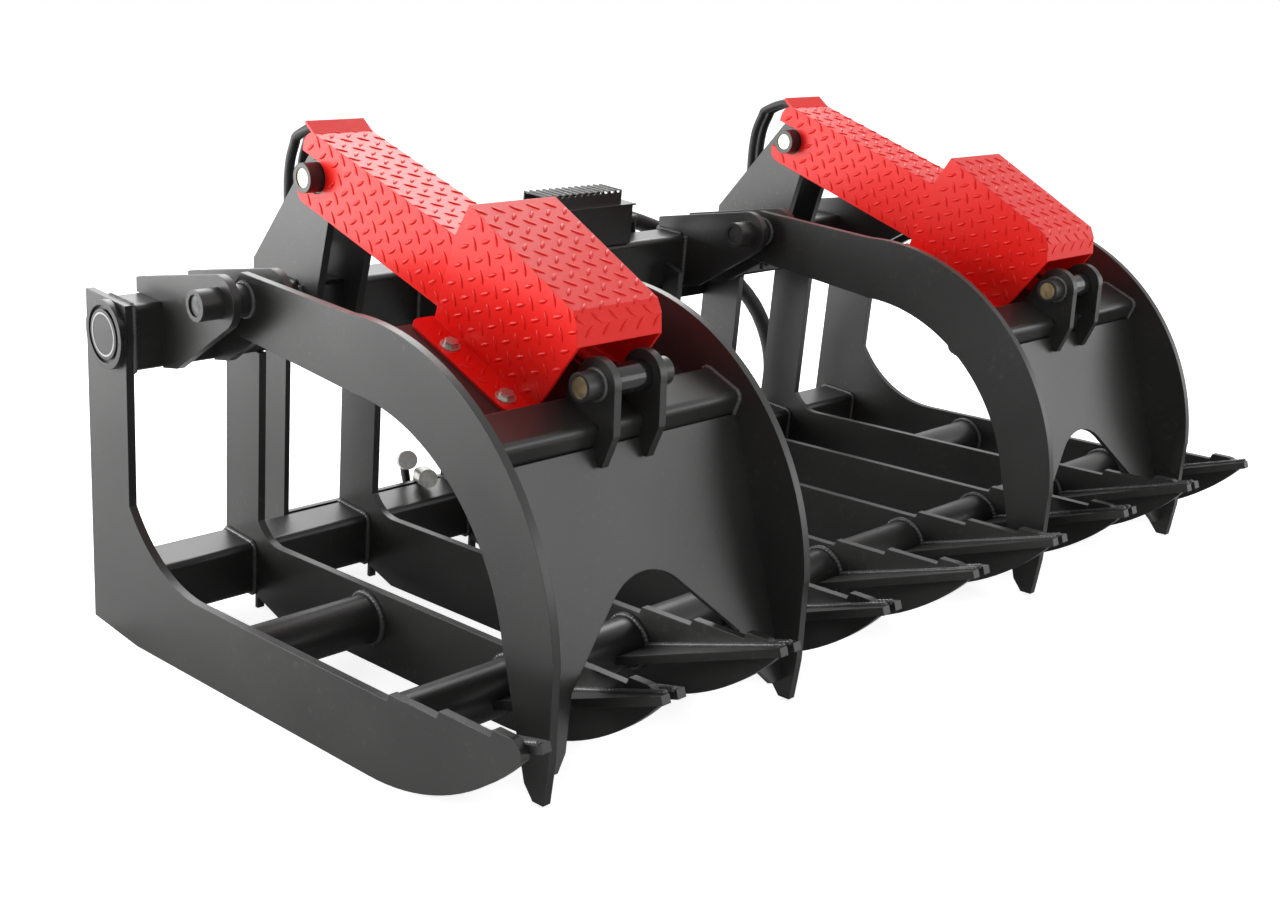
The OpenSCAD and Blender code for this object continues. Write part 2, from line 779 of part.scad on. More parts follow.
module lid_panel(s) {
    color(black) on_lid(s) difference() {
        panel_frame() rotate([90, 0, 0]) linear_extrude(sheet_t) difference() {
            translate([-lid_inner / 2, -panel_l]) square([lid_inner, panel_l + sheet_t / 2]);
            arch_2d();
        }
        lid_tube_frame() translate([-lid_inner / 2 - over, -lid_tube_s / 2, -lid_tube_s])
            cube([lid_inner + 2 * over, lid_tube_s, 2 * lid_tube_s]);
    }
}

top_plate_l = 247;
top_plate_n = 4;
module lid_top_plate(s) {
    color(black) on_lid(s) lid_tube_frame() difference() {
        translate([-lid_inner / 2, lid_tube_s / 2, top_plate_n - coupler_t])
            cube([lid_inner, top_plate_l, coupler_t]);
        for (a = [-1, 1]) for (u = guard_bolt_us)
            translate([a * (lower_half_w + flange_w / 2), u, top_plate_n - coupler_t - over])
                cylinder(r = guard_bolt_d / 2 + run_clear, h = coupler_t + 2 * over);
    }
}

// The clevis ears on the cross tube
ear_r = 36;
ear_front_z = 66;
ear_tip_z = 112;
ear_tip_y = 12;
ear_back_y = 62;
ear_back_z = 27;
module ear_2d() {
    c = [-clevis_pin_y, clevis_pin_z];
    difference() {
        union() {
            translate(c) circle(ear_r);
            polygon([[c[0] - ear_r + over / 2, c[1]], [c[0] - ear_r + 2 * over, c[1] - ear_front_z],
                [c[0] - ear_tip_y, c[1] - ear_tip_z], [-lid_tube_y, c[1] - ear_tip_z],
                [-lid_tube_y, lid_tube_z], [c[0] + ear_back_y, c[1] - ear_back_z],
                tangent_point(c, ear_r, [c[0] + ear_back_y, c[1] - ear_back_z], 1)]);
        }
        lid_tube_frame_2d() translate([-lid_tube_s / 2, -lid_tube_s]) square([lid_tube_s, lid_tube_s * 3 / 2]);
        translate(c) circle(cyl_pin_r + run_clear);
    }
}

module clevis(s) {
    color(black) on_lid(s) for (a = [-1, 1]) side(a) {
        difference() {
            side_plate(-clevis_half_w, plate_t) ear_2d();
            panel_frame() translate([-clevis_half_w - over, -sheet_t, -panel_l])
                cube([plate_t + 2 * over, lid_tube_s, panel_l + sheet_t / 2]);
        }
        ring(-clevis_half_w - pin_boss_l + over, pin_boss_l - over, -clevis_pin_y, clevis_pin_z,
            clevis_boss_r, cyl_pin_r + run_clear);
    }
}

module clevis_pin(s) {
    l = 2 * (clevis_half_w + pin_boss_l - pin_recess);
    color(gold) on_lid(s) translate([-l / 2, -clevis_pin_y, clevis_pin_z]) rotate([0, 90, 0])
        cylinder(r = cyl_pin_r, h = l);
}

// The lower guard, in the cross tube's frame
guard_back_u = 285;
guard_back_mid_u = 290;
guard_back_mid_h = 140;
guard_top_u = 279;
guard_fold_u = 43;
guard_nose_u = 29;
guard_nose_h = 159;
guard_nose_low_u = 16;
guard_nose_low_h = 132;
guard_foot_u = 52;
flange_r = 20;
guard_bolt_us = [89, 217];
guard_seat = top_plate_n + 0.2;

module lower_side_2d(inset) {
    polygon([[guard_foot_u, guard_seat + inset], [guard_back_u, guard_seat + inset],
        [guard_back_mid_u, guard_back_mid_h], [guard_top_u, lower_back_h - inset],
        [guard_fold_u + inset / 2, lower_front_h - inset], [guard_nose_u + inset, guard_nose_h - inset / 2],
        [guard_nose_low_u + inset, guard_nose_low_h]]);
}

module lower_guard(s) {
    color(red) on_lid(s) lid_tube_frame() {
        difference() {
            side_plate(-lower_half_w, 2 * lower_half_w) lower_side_2d(0);
            side_plate(-lower_half_w + guard_t, 2 * (lower_half_w - guard_t)) union() {
                lower_side_2d(guard_t);
                translate([0, -over]) polygon([[guard_foot_u, 0], [guard_back_u + 2 * over, 0],
                    [guard_back_u + 2 * over, lower_front_h], [guard_foot_u, lower_front_h / 2]]);
                translate([guard_back_u - over, guard_seat])
                    square([guard_nose_u, lower_back_h - guard_seat - guard_t]);
                polygon([[guard_nose_low_u - guard_nose_u, 0], [guard_foot_u + over, 0],
                    [guard_foot_u + over, guard_nose_low_h], [guard_nose_low_u - over, guard_nose_low_h],
                    [guard_nose_low_u - guard_nose_u, guard_nose_low_h]]);
            }
        }
        for (a = [-1, 1]) side(a) difference() {
            translate([-lower_half_w - flange_w, guard_foot_u + guard_t, guard_seat]) linear_extrude(guard_t)
                difference() {
                    square([flange_w + over, guard_back_u - guard_foot_u]);
                    corner_cut_2d(flange_r);
                    translate([0, guard_back_u - guard_foot_u]) rotate(270) corner_cut_2d(flange_r);
                }
            for (u = guard_bolt_us) translate([-lower_half_w - flange_w / 2, u, guard_seat - over])
                cylinder(r = guard_bolt_d / 2 + run_clear, h = guard_t + 2 * over);
        }
    }
}

// The four bolts of a lower guard, each with its washer and nut
washer_r = 15;
washer_t = 2;
bolt_head_r = 10.4;
bolt_head_h = 7;
module guard_bolts(s) {
    head_z = guard_seat + guard_t;
    nut_z = top_plate_n - coupler_t;
    color(zinc) on_lid(s) lid_tube_frame() for (a = [-1, 1]) for (u = guard_bolt_us)
        translate([a * (lower_half_w + flange_w / 2), u, 0]) {
            translate([0, 0, head_z]) cylinder(r = washer_r, h = washer_t);
            translate([0, 0, head_z + washer_t]) cylinder(r = bolt_head_r, h = bolt_head_h, $fn = 6);
            translate([0, 0, nut_z - 1.5 * bolt_head_h])
                cylinder(r = guard_bolt_d / 2, h = head_z - nut_z + 1.5 * bolt_head_h + over);
            translate([0, 0, nut_z - bolt_head_h]) cylinder(r = bolt_head_r, h = bolt_head_h, $fn = 6);
        }
}

// The cylinders

eye_w = 2 * (tower_half_w - plate_t) - 2 * side_clear;
rod_eye_w = 2 * (clevis_half_w - plate_t) - 2 * side_clear;
gland_l = 26;
gland_bore_r = 24;
gland_r = 41;
cap_l = 14;
port_r = 11;
port_h = 18.5;
port_x = 12;
barrel_start = 44;
port_places = [barrel_start + 2 * port_r, barrel_l - gland_l - 2 * port_r];
guard_post_w = 14;
guard_post_l = 30;
guard_post_places = [140, 360];

// A barrel: base eye, tube with a blind bore, and the gland at its mouth
module barrel(s) {
    start = barrel_start;
    color(black) on_lid(s) cyl_frame() difference() {
        union() {
            translate([-eye_w / 2, 0, 0]) rotate([0, 90, 0]) cylinder(r = eye_r, h = eye_w);
            translate([0, -eye_r / 2, 0]) rotate([90, 0, 0])
                cylinder(r = barrel_r - tube_wall, h = start - eye_r / 2 + over);
            translate([0, -start, 0]) rotate([90, 0, 0]) cylinder(r = barrel_r, h = barrel_l - start);
            translate([0, -barrel_l + gland_l, 0]) rotate([90, 0, 0]) cylinder(r = gland_r, h = gland_l - over);
            for (i = [0, 1]) translate([(2 * i - 1) * port_x, -port_places[i], 0])
                cylinder(r = port_r, h = barrel_r + port_h);
            for (p = guard_post_places) translate([-port_x - guard_post_w / 2, -p, 0])
                cube([guard_post_w, guard_post_l, upper_top - guard_t]);
        }
        rotate([0, 90, 0]) translate([0, 0, -eye_w]) cylinder(r = cyl_pin_r + run_clear, h = 2 * eye_w);
        translate([0, -start - cap_l, 0]) rotate([90, 0, 0])
            cylinder(r = cyl_bore_r, h = barrel_l - start - cap_l - gland_l);
        translate([0, -barrel_l / 2, 0]) rotate([90, 0, 0]) cylinder(r = gland_bore_r, h = barrel_l);
    }
}

module rod(s) {
    color(steel) on_lid(s) cyl_frame() translate([0, -cyl_l, 0]) difference() {
        union() {
            translate([-rod_eye_w / 2, 0, 0]) rotate([0, 90, 0]) cylinder(r = eye_r, h = rod_eye_w);
            rotate([-90, 0, 0]) cylinder(r = rod_r, h = rod_l);
        }
        translate([-rod_eye_w, 0, 0]) rotate([0, 90, 0]) cylinder(r = cyl_pin_r + run_clear, h = 2 * rod_eye_w);
    }
}

piston_l = 38;
piston_r = 24;
module piston(s) {
    color(steel) on_lid(s) cyl_frame() translate([0, -cyl_l + rod_l, 0]) rotate([-90, 0, 0])
        cylinder(r = piston_r, h = piston_l);
}

// The upper guard: a folded channel over the barrel, open below
guard_tail = 43;
tail_r = 24;
lip_l = 26;
lip_rise = 20;
notch_r = 26;
module upper_guard(s) {
    height = upper_top + upper_drop;
    color(red) on_lid(s) cyl_frame() {
        difference() {
            side_plate(-upper_half_w, 2 * upper_half_w) difference() {
                translate([-upper_l, -upper_drop]) square([upper_l + guard_tail, height]);
                translate([guard_tail, -upper_drop]) rotate(90) corner_cut_2d(tail_r);
                translate([guard_tail, upper_top]) rotate(180) corner_cut_2d(tail_r);
                circle(notch_r);
                translate([0, -notch_r]) square([guard_tail + over, 2 * notch_r]);
            }
            side_plate(-upper_half_w + guard_t, 2 * (upper_half_w - guard_t))
                translate([-upper_l - over, -upper_drop - over])
                    square([upper_l + guard_tail + 2 * over, height - guard_t + over]);
        }
        translate([0, guard_tail - tail_r, upper_top - guard_t]) rotate([lip_rise, 0, 0])
            translate([-upper_half_w, 0, 0]) cube([2 * upper_half_w, lip_l + guard_t, guard_t]);
    }
}

// The hoses and lines

hose_sides = 8;

// Directions square to a route at each of its points, turned as little as possible
function ahead(p, i) = let (d = p[min(i + 1, len(p) - 1)] - p[max(i - 1, 0)]) d / norm(d);
function squared(v, d) = let (w = v - (v * d) * d) w / norm(w);
function route_sides(p) = [for (i = 0, s = squared([1, 1, 1], ahead(p, 0)); i < len(p);
    i = i + 1, s = i < len(p) ? squared(s, ahead(p, i)) : s) s];

// A tube of radius r with a ring at each point of its route
module routed_tube(p, r) {
    n = len(p);
    m = hose_sides;
    s = route_sides(p);
    rings = [for (i = [0:n - 1]) let (l = cross(ahead(p, i), s[i])) for (j = [0:m - 1])
        p[i] + r * (s[i] * cos(360 * j / m) + l * sin(360 * j / m))];
    walls = [for (i = [0:n - 2]) for (j = [0:m - 1]) let (k = (j + 1) % m)
        each [[i * m + j, (i + 1) * m + j, (i + 1) * m + k], [i * m + j, (i + 1) * m + k, i * m + k]]];
    ends = [for (j = [1:m - 2]) each [[0, j, j + 1],
        [(n - 1) * m, (n - 1) * m + j + 1, (n - 1) * m + j]]];
    polyhedron(rings, concat(walls, ends), convexity = 8);
}

// The two steel lines of one side, in the leaning frame: out of the box, down behind the tube and up
line_routes = [
    [[-110, 27, 582], [-150, 27, 582], [-172, 46, 578], [-186, 76, 560], [-198, 87, 530],
        [-214, 87, 492], [-236, 87, 468], [-300, 87, 468], [-530, 87, 468], [-548, 87, 474],
        [-555, 87, 492], [-558, 87, 520], [-572, 87, 548], [-576, 87, 575], [-576, 87, 592]],
    [[-110, 47, 582], [-160, 49, 581], [-194, 70, 570], [-212, 87, 544], [-226, 87, 508],
        [-250, 87, 484], [-310, 87, 484], [-518, 87, 484], [-534, 87, 489], [-541, 87, 504],
        [-543, 87, 530], [-550, 87, 552], [-552, 87, 575], [-552, 87, 592]]];

// The free parts of the two hoses over the tower, in Y and Z
hose_rise = [[240, 588], [239, 625], [238, 660], [235, 695], [228, 727], [214, 755], [203, 769]];

module feed_lines(s) {
    color(rubber) side(s) {
        leaning() for (p = line_routes) routed_tube(p, line_r);
        for (e = [-1, 1]) routed_tube([for (q = hose_rise) [-lid_x + e * port_x, q[0], q[1]]], hose_r);
    }
}

hose_over = 48;
hose_tail = 75;
module port_hoses(s) {
    color(rubber) on_lid(s) cyl_frame() for (i = [0, 1])
        translate([(2 * i - 1) * port_x, hose_tail, hose_over]) rotate([90, 0, 0])
            cylinder(r = hose_r, h = hose_tail + port_places[i] - port_r);
}

// The sleeve round the supply hoses, and the two hoses that come out of it
sleeve_route = [[0, 220, 584], [0, 242, 586], [8, 264, 590], [28, 287, 593], [62, 308, 594],
    [110, 325, 588], [180, 336, 577], [260, 342, 562],
    [340, 346, 540], [420, 348, 510], [500, 349, 473], [580, 349, 428], [650, 349, 378],
    [708, 349, 322], [750, 350, 258], [774, 352, 190], [778, 358, 122], [758, 370, 64],
    [712, 385, 28], [650, 393, 17.5], [560, 396, 17.5], [460, 397, 17.5], [360, 397, 17.5],
    [260, 397, 17.5], [160, 397, 17.5], [60, 397, 17.5], [-40, 397, 17.5], [-120, 397, 19],
    [-180, 397, 29], [-220, 394, 55], [-242, 370, 80]];
tail_routes = [
    [[-231, 367, 73], [-236.5, 363, 80], [-248, 346, 108], [-264, 322, 129], [-278, 300, 136],
        [-288, 280, 139]],
    [[-242, 381, 73], [-247.5, 377, 80], [-262, 364, 114], [-282, 342, 143], [-301, 316, 160],
        [-316, 292, 168]]];

module supply_hoses() {
    color(rubber) {
        routed_tube(sleeve_route, sleeve_r);
        for (p = tail_routes) routed_tube(p, hose_r);
    }
}

quick_nose_r = 13;
quick_nose_l = 12;
module quick_couplers() {
    color(zinc) for (p = tail_routes) let (n = len(p), d = p[n - 1] - p[n - 2])
        translate(p[n - 1]) rotate([0, 0, atan2(d[1], d[0])]) rotate([0, 90 - asin(d[2] / norm(d)), 0]) {
            cylinder(r = quick_nose_r, h = quick_nose_l + over);
            translate([0, 0, quick_nose_l]) cylinder(r = quick_r, h = quick_l - quick_nose_l);
        }
}

end_plate(-1);  // end_plate_left
end_plate(1);  // end_plate_right
tine(1);  // tine_1
tine(2);  // tine_2
tine(3);  // tine_3
tine(4);  // tine_4
tine(5);  // tine_5
tine(6);  // tine_6
tine(7);  // tine_7
tine_gussets();
top_tube();
lower_tube();
front_tube();
stub_tubes();
hinge_lugs(-1);  // hinge_lugs_left
hinge_lugs(1);  // hinge_lugs_right
hinge_pins();
tower(-1);  // tower_left
tower(1);  // tower_right
tower_pins();
coupler_top();
coupler_sides();
coupler_ledge();
hose_box();
step_tread();
end_badges();
feed_lines(-1);  // feed_lines_left
feed_lines(1);  // feed_lines_right
supply_hoses();
quick_couplers();
port_hoses(-1);  // port_hoses_left
port_hoses(1);  // port_hoses_right
arm(-1, -1);  // outer_arm_left
arm(-1, 1);  // inner_arm_left
arm_collars(-1);  // arm_collars_left
lid_tube(-1);  // lid_tube_left
lid_panel(-1);  // lid_panel_left
lid_top_plate(-1);  // lid_top_plate_left
clevis(-1);  // clevis_left
clevis_pin(-1);  // clevis_pin_left
lower_guard(-1);  // lower_guard_left
guard_bolts(-1);  // guard_bolts_left
arm(1, -1);  // outer_arm_right
arm(1, 1);  // inner_arm_right
arm_collars(1);  // arm_collars_right
lid_tube(1);  // lid_tube_right
lid_panel(1);  // lid_panel_right
lid_top_plate(1);  // lid_top_plate_right
clevis(1);  // clevis_right
clevis_pin(1);  // clevis_pin_right
lower_guard(1);  // lower_guard_right
guard_bolts(1);  // guard_bolts_right
barrel(-1);  // barrel_left
upper_guard(-1);  // upper_guard_left
barrel(1);  // barrel_right
upper_guard(1);  // upper_guard_right
rod(-1);  // rod_left
piston(-1);  // piston_left
rod(1);  // rod_right
piston(1);  // piston_right
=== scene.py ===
"""Looks for the dual-lid root grapple: coats, tread plate, weld beads, badge rings and hoses.

Every length is in metres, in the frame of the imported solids: X across the machine,
-Y towards the tine tips, +Z up, the ground at z = 0.
"""

import json
import math

import bpy
import numpy as np
from mathutils import Matrix


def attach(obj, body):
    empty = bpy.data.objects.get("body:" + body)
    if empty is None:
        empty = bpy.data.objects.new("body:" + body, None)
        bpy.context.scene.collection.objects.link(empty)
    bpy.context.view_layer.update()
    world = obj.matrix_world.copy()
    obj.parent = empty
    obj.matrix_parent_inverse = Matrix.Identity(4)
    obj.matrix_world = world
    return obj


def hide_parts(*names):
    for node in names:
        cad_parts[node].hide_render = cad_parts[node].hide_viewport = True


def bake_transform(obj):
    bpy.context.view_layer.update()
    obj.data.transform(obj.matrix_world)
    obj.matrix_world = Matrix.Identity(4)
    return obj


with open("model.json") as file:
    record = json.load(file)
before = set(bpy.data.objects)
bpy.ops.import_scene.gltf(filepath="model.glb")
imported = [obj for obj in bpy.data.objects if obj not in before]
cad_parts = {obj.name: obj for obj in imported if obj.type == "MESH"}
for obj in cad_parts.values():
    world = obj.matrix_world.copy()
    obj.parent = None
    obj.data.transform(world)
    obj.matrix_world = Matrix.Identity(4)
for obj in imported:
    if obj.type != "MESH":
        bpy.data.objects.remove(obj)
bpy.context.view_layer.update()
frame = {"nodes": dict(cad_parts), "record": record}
cad = frame["nodes"]

# Values that the solids share
HALF_W = 0.9144
PLATE = 0.0127
PITCH = (2 * HALF_W - PLATE) / 8
LID_X = 0.5644
ARM_X = 0.240
LEAN = math.radians(5.5)
FOOT_Y = 0.210
UPRIGHT_D = 0.096
HINGE = np.array([0.0, 0.0, 0.562])
TOWER = np.array([0.0, 0.098, 0.715])
CLEVIS = np.array([0.0, -0.521, 0.499])
TUBE = np.array([0.0, -0.477, 0.423])
TILT = math.radians(24.0)
PANEL_TILT = math.radians(15.8)
TUBE_S = 0.0762
TUBE_CORNER = 0.011


class Axes:
    """A place in the grapple with its own across, along and up directions."""

    def __init__(self, origin, along, up):
        self.origin = np.asarray(origin, float)
        self.along = np.asarray(along, float)
        self.up = np.asarray(up, float)

    def at(self, x, a, h):
        """Points for across, along and up, which may be arrays of one shape."""
        x, a, h = np.broadcast_arrays(np.asarray(x, float), a, h)
        p = self.origin + a[..., None] * self.along + h[..., None] * self.up
        p = p + x[..., None] * np.array([1.0, 0.0, 0.0])
        return p


def leaning():
    """The frame of the uprights: along runs back through the tubes, up along the uprights."""
    return Axes([0, FOOT_Y, 0], [0, math.cos(LEAN), math.sin(LEAN)],
                [0, -math.sin(LEAN), math.cos(LEAN)])


def on_cylinder(x):
    """The frame of a cylinder: along runs from the tower pin to the clevis pin."""
    f = (CLEVIS - TOWER) / np.linalg.norm(CLEVIS - TOWER)
    return Axes(TOWER + [x, 0, 0], f, [0, f[2], -f[1]])


def on_lid_tube(x):
    """The frame of a lid's cross tube: along runs back over the top plate."""
    return Axes(TUBE + [x, 0, 0], [0, math.cos(TILT), math.sin(TILT)],
                [0, -math.sin(TILT), math.cos(TILT)])


def on_panel(x):
    """The frame of a front panel: along runs down its slope, up stands out of its front."""
    y = TUBE[1] - TUBE_S / 2 * math.cos(TILT) + 0.002 * math.sin(TILT)
    z = TUBE[2] - TUBE_S / 2 * math.sin(TILT) - 0.002 * math.cos(TILT)
    return Axes([x, y, z], [0, -math.sin(PANEL_TILT), -math.cos(PANEL_TILT)],
                [0, -math.cos(PANEL_TILT), math.sin(PANEL_TILT)])


# Surfaces

def stack(parts):
    """One list of points and one of faces from several (points, faces) pairs."""
    points, faces, start = [], [], 0
    for p, f in parts:
        points.append(p)
        faces.extend((np.asarray(q) + start).tolist() for q in f)
        start += len(p)
    return np.concatenate(points), faces


def loft(rings, closed=False):
    """Quads between rings of points, shape (rings, around, 3), with the two end rings filled.

    Point (i, j) joins (i, j+1), (i+1, j+1) and (i+1, j); around wraps. A closed loft
    joins its last ring to its first and has no ends.
    """
    n, m = rings.shape[:2]
    i, j = np.meshgrid(np.arange(n if closed else n - 1), np.arange(m), indexing="ij")
    k, l = (i + 1) % n, (j + 1) % m
    quads = np.stack([i * m + j, i * m + l, k * m + l, k * m + j], -1).reshape(-1, 4)
    faces = list(quads)
    if not closed:
        faces.append(np.arange(m)[::-1])
        faces.append(np.arange(m) + (n - 1) * m)
    return rings.reshape(-1, 3), faces


def path_frames(path, closed=False):
    """Two directions square to a path at each of its points, turned as little as possible."""
    ahead = np.roll(path, -1, 0) - np.roll(path, 1, 0)
    if not closed:
        ahead[0], ahead[-1] = path[1] - path[0], path[-1] - path[-2]
    ahead /= np.linalg.norm(ahead, axis=1)[:, None]
    side = np.zeros_like(path)
    start = np.array([0.0, 0, 1]) if abs(ahead[0][2]) < 0.9 else np.array([1.0, 0, 0])
    s = np.cross(ahead[0], start)
    for i, a in enumerate(ahead):
        s = s - a * (s @ a)
        s /= np.linalg.norm(s)
        side[i] = s
    return side, np.cross(ahead, side)


def carried(path, radius, around=12, closed=False):
    """A round profile carried along a path: radius is one number, one for each point, or a
    grid of point by angle. P(i, t) = path(i) + r (side cos t + lift sin t)."""
    side, lift = path_frames(path, closed)
    t = np.linspace(0, 2 * np.pi, around, endpoint=False)
    r = np.asarray(radius, float)
    r = r[:, None] if r.ndim == 1 else r
    r = np.broadcast_to(r, (len(path), around))
    rings = (path[:, None] + r[..., None] * (side[:, None] * np.cos(t)[None, :, None]
             + lift[:, None] * np.sin(t)[None, :, None]))
    return loft(rings, closed)


def turned_ring(profile, origin, axis, around=64):
    """A ring turned about an X axis from a closed profile of (radius, height) rows."""
    axis = np.asarray(axis, float)
    side, lift = np.array([0, 1.0, 0]), np.cross(axis, [0, 1.0, 0])
    p = np.asarray(profile, float)
    t = np.linspace(0, 2 * np.pi, around, endpoint=False)[:, None, None]
    out = side * np.cos(t) + lift * np.sin(t)
    rings = np.asarray(origin) + p[None, :, 1:] * axis + p[None, :, :1] * out
    return loft(rings, closed=True)


def through(points, steps=8):
    """A smooth line through listed points: a Catmull-Rom spline,
    P(t) = (2b + (c - a) t + (2a - 5b + 4c - d) t^2 + (3b - a - 3c + d) t^3) / 2 on each span."""
    p = np.asarray(points, float)
    p = np.concatenate([[2 * p[0] - p[1]], p, [2 * p[-1] - p[-2]]])
    t = np.linspace(0, 1, steps, endpoint=False)[:, None]
    spans = [(2 * b + (c - a) * t + (2 * a - 5 * b + 4 * c - d) * t ** 2
              + (3 * b - a - 3 * c + d) * t ** 3) / 2
             for a, b, c, d in zip(p[:-3], p[1:-2], p[2:-1], p[3:])]
    return np.concatenate(spans + [p[-2:-1]])


def evenly(path, step, closed=False):
    """A path's points at an even step, and how far along it each one lies."""
    p = np.concatenate([path, path[:1]]) if closed else path
    way = np.concatenate([[0], np.cumsum(np.linalg.norm(np.diff(p, axis=0), axis=1))])
    n = max(3, round(way[-1] / step))
    s = np.linspace(0, way[-1], n, endpoint=False) if closed else np.linspace(0, way[-1], n)
    return np.stack([np.interp(s, way, p[:, i]) for i in range(3)], -1), s


def bead(path, radius=0.0045, closed=False):
    """A weld bead: r(s, t) = R (0.86 + 0.2 |sin(pi s / 6.5 mm)| + 0.05 sin(3t + s / 4 mm))."""
    path, s = evenly(np.asarray(path, float), 0.0016, closed)
    t = np.linspace(0, 2 * np.pi, 8, endpoint=False)
    grid = radius * (0.86 + 0.2 * np.abs(np.sin(np.pi * s / 0.0065))[:, None]
                     + 0.05 * np.sin(3 * t[None] + s[:, None] / 0.004))
    return carried(path, grid, 8, closed)


def circle(centre, radius, x):
    """A circle about an X axis."""
    t = np.linspace(0, 2 * np.pi, 48, endpoint=False)
    return np.stack([np.full_like(t, x), centre[0] + radius * np.cos(t),
                     centre[1] + radius * np.sin(t)], -1)


def rounded(axes, x, a, h, half_a, half_h, corner):
    """A rounded rectangle about an X axis, in a set of axes."""
    t = np.linspace(0, 2 * np.pi, 32, endpoint=False) + math.pi / 32
    ca, ch = np.cos(t), np.sin(t)
    return axes.at(x, a + np.sign(ca) * (half_a - corner) + corner * ca,
                   h + np.sign(ch) * (half_h - corner) + corner * ch)


def piece(name, body, slot, material, *parts, smooth=True):
    """One object from several (points, faces) parts, riding on a body. No body: left to blend."""
    points, faces = stack(parts)
    mesh = bpy.data.meshes.new(name)
    mesh.from_pydata(points.tolist(), [], [list(map(int, f)) for f in faces])
    mesh.update()
    if smooth:
        mesh.shade_smooth()
    mesh.materials.append(material)
    thing = bpy.data.objects.new(name, mesh)
    bpy.context.scene.collection.objects.link(thing)
    if body:
        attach(thing, body)
    return thing


# Materials

def group(name, inputs, outputs):
    """A shader node group with named sockets, and its input and output nodes."""
    tree = bpy.data.node_groups.new(name, "ShaderNodeTree")
    for label, kind, value in inputs:
        s = tree.interface.new_socket(label, in_out="INPUT", socket_type=kind)
        s.default_value = value
    for label, kind in outputs:
        tree.interface.new_socket(label, in_out="OUTPUT", socket_type=kind)
    return tree, tree.nodes.new("NodeGroupInput"), tree.nodes.new("NodeGroupOutput")


def node(tree, kind, links=(), **values):
    """A node with its settings, its unlinked socket values and its links."""
    n = tree.nodes.new(kind)
    for key, value in values.items():
        if hasattr(n, key):
            setattr(n, key, value)
        else:
            n.inputs[key.replace("_", " ")].default_value = value
    for socket, source in links:
        tree.links.new(source, n.inputs[socket])
    return n


def maths(tree, what, a, b=None):
    """A Math node on sockets or numbers."""
    n = tree.nodes.new("ShaderNodeMath")
    n.operation = what
    for i, v in enumerate((a, b)):
        if v is None:
            continue
        if isinstance(v, (int, float)):
            n.inputs[i].default_value = v
        else:
            tree.links.new(v, n.inputs[i])
    return n.outputs[0]


def colour(tree, factor, a, b):
    """A colour mix of two sockets or values."""
    n = tree.nodes.new("ShaderNodeMix")
    n.data_type = "RGBA"
    tree.links.new(factor, n.inputs["Factor"])
    for i, v in ((6, a), (7, b)):
        if isinstance(v, tuple):
            n.inputs[i].default_value = (*v, 1)
        else:
            tree.links.new(v, n.inputs[i])
    return n.outputs[2]


def span(tree, value, low, high, to_low=0.0, to_high=1.0):
    """A clamped Map Range."""
    n = tree.nodes.new("ShaderNodeMapRange")
    tree.links.new(value, n.inputs["Value"])
    for label, v in (("From Min", low), ("From Max", high), ("To Min", to_low), ("To Max", to_high)):
        n.inputs[label].default_value = v
    return n.outputs[0]


def noise(tree, place, scale, detail=2.0, rough=0.5):
    """A noise texture's value on a place socket."""
    n = node(tree, "ShaderNodeTexNoise", [("Vector", place)], Scale=scale, Detail=detail)
    n.inputs["Roughness"].default_value = rough
    return n.outputs["Fac"]


def coat_group():
    """Powder coat: soft mottling, orange peel, fine dust, scuffs and thinner, lighter edges."""
    tree, inp, out = group("powder_coat", [
        ("Colour", "NodeSocketColor", (0.03, 0.03, 0.03, 1)),
        ("Edge Colour", "NodeSocketColor", (0.1, 0.1, 0.1, 1)),
        ("Roughness", "NodeSocketFloat", 0.4),
        ("Peel", "NodeSocketFloat", 0.00006),
        ("Dust", "NodeSocketFloat", 0.2),
    ], [("Colour", "NodeSocketColor"), ("Roughness", "NodeSocketFloat"),
        ("Normal", "NodeSocketVector")])
    place = node(tree, "ShaderNodeTexCoord").outputs["Object"]
    broad = noise(tree, place, 3.2, 3)
    fine = noise(tree, place, 420, 2)
    dust = span(tree, noise(tree, place, 90, 5, 0.7), 0.56, 0.72)
    patch = span(tree, noise(tree, place, 7, 4, 0.6), 0.45, 0.7)
    shape = node(tree, "ShaderNodeNewGeometry")
    round_edge = node(tree, "ShaderNodeBevel", samples=4, Radius=0.0016)
    match = node(tree, "ShaderNodeVectorMath", [(0, shape.outputs["Normal"]),
                 (1, round_edge.outputs["Normal"])], operation="DOT_PRODUCT")
    edge = span(tree, match.outputs["Value"], 0.995, 0.86)
    rub = maths(tree, "MULTIPLY", edge, span(tree, noise(tree, place, 38, 4, 0.65), 0.42, 0.66))
    dusty = maths(tree, "MULTIPLY", maths(tree, "MULTIPLY", dust, patch), inp.outputs["Dust"])
    light = colour(tree, span(tree, broad, 0.3, 0.7, 0.0, 0.35), inp.outputs["Colour"],
                   inp.outputs["Edge Colour"])
    light = colour(tree, maths(tree, "MULTIPLY", rub, 0.7), light, inp.outputs["Edge Colour"])
    light = colour(tree, dusty, light, (0.3, 0.28, 0.25))
    tree.links.new(light, out.inputs["Colour"])
    rough = maths(tree, "ADD", inp.outputs["Roughness"],
                  span(tree, broad, 0.3, 0.7, -0.05, 0.05))
    rough = maths(tree, "ADD", rough, maths(tree, "MULTIPLY", dusty, 0.5))
    tree.links.new(rough, out.inputs["Roughness"])
    bump = node(tree, "ShaderNodeBump", [("Height", fine), ("Distance", inp.outputs["Peel"]),
                ("Normal", round_edge.outputs["Normal"])], Strength=1.0)
    tree.links.new(bump.outputs[0], out.inputs["Normal"])
    return tree


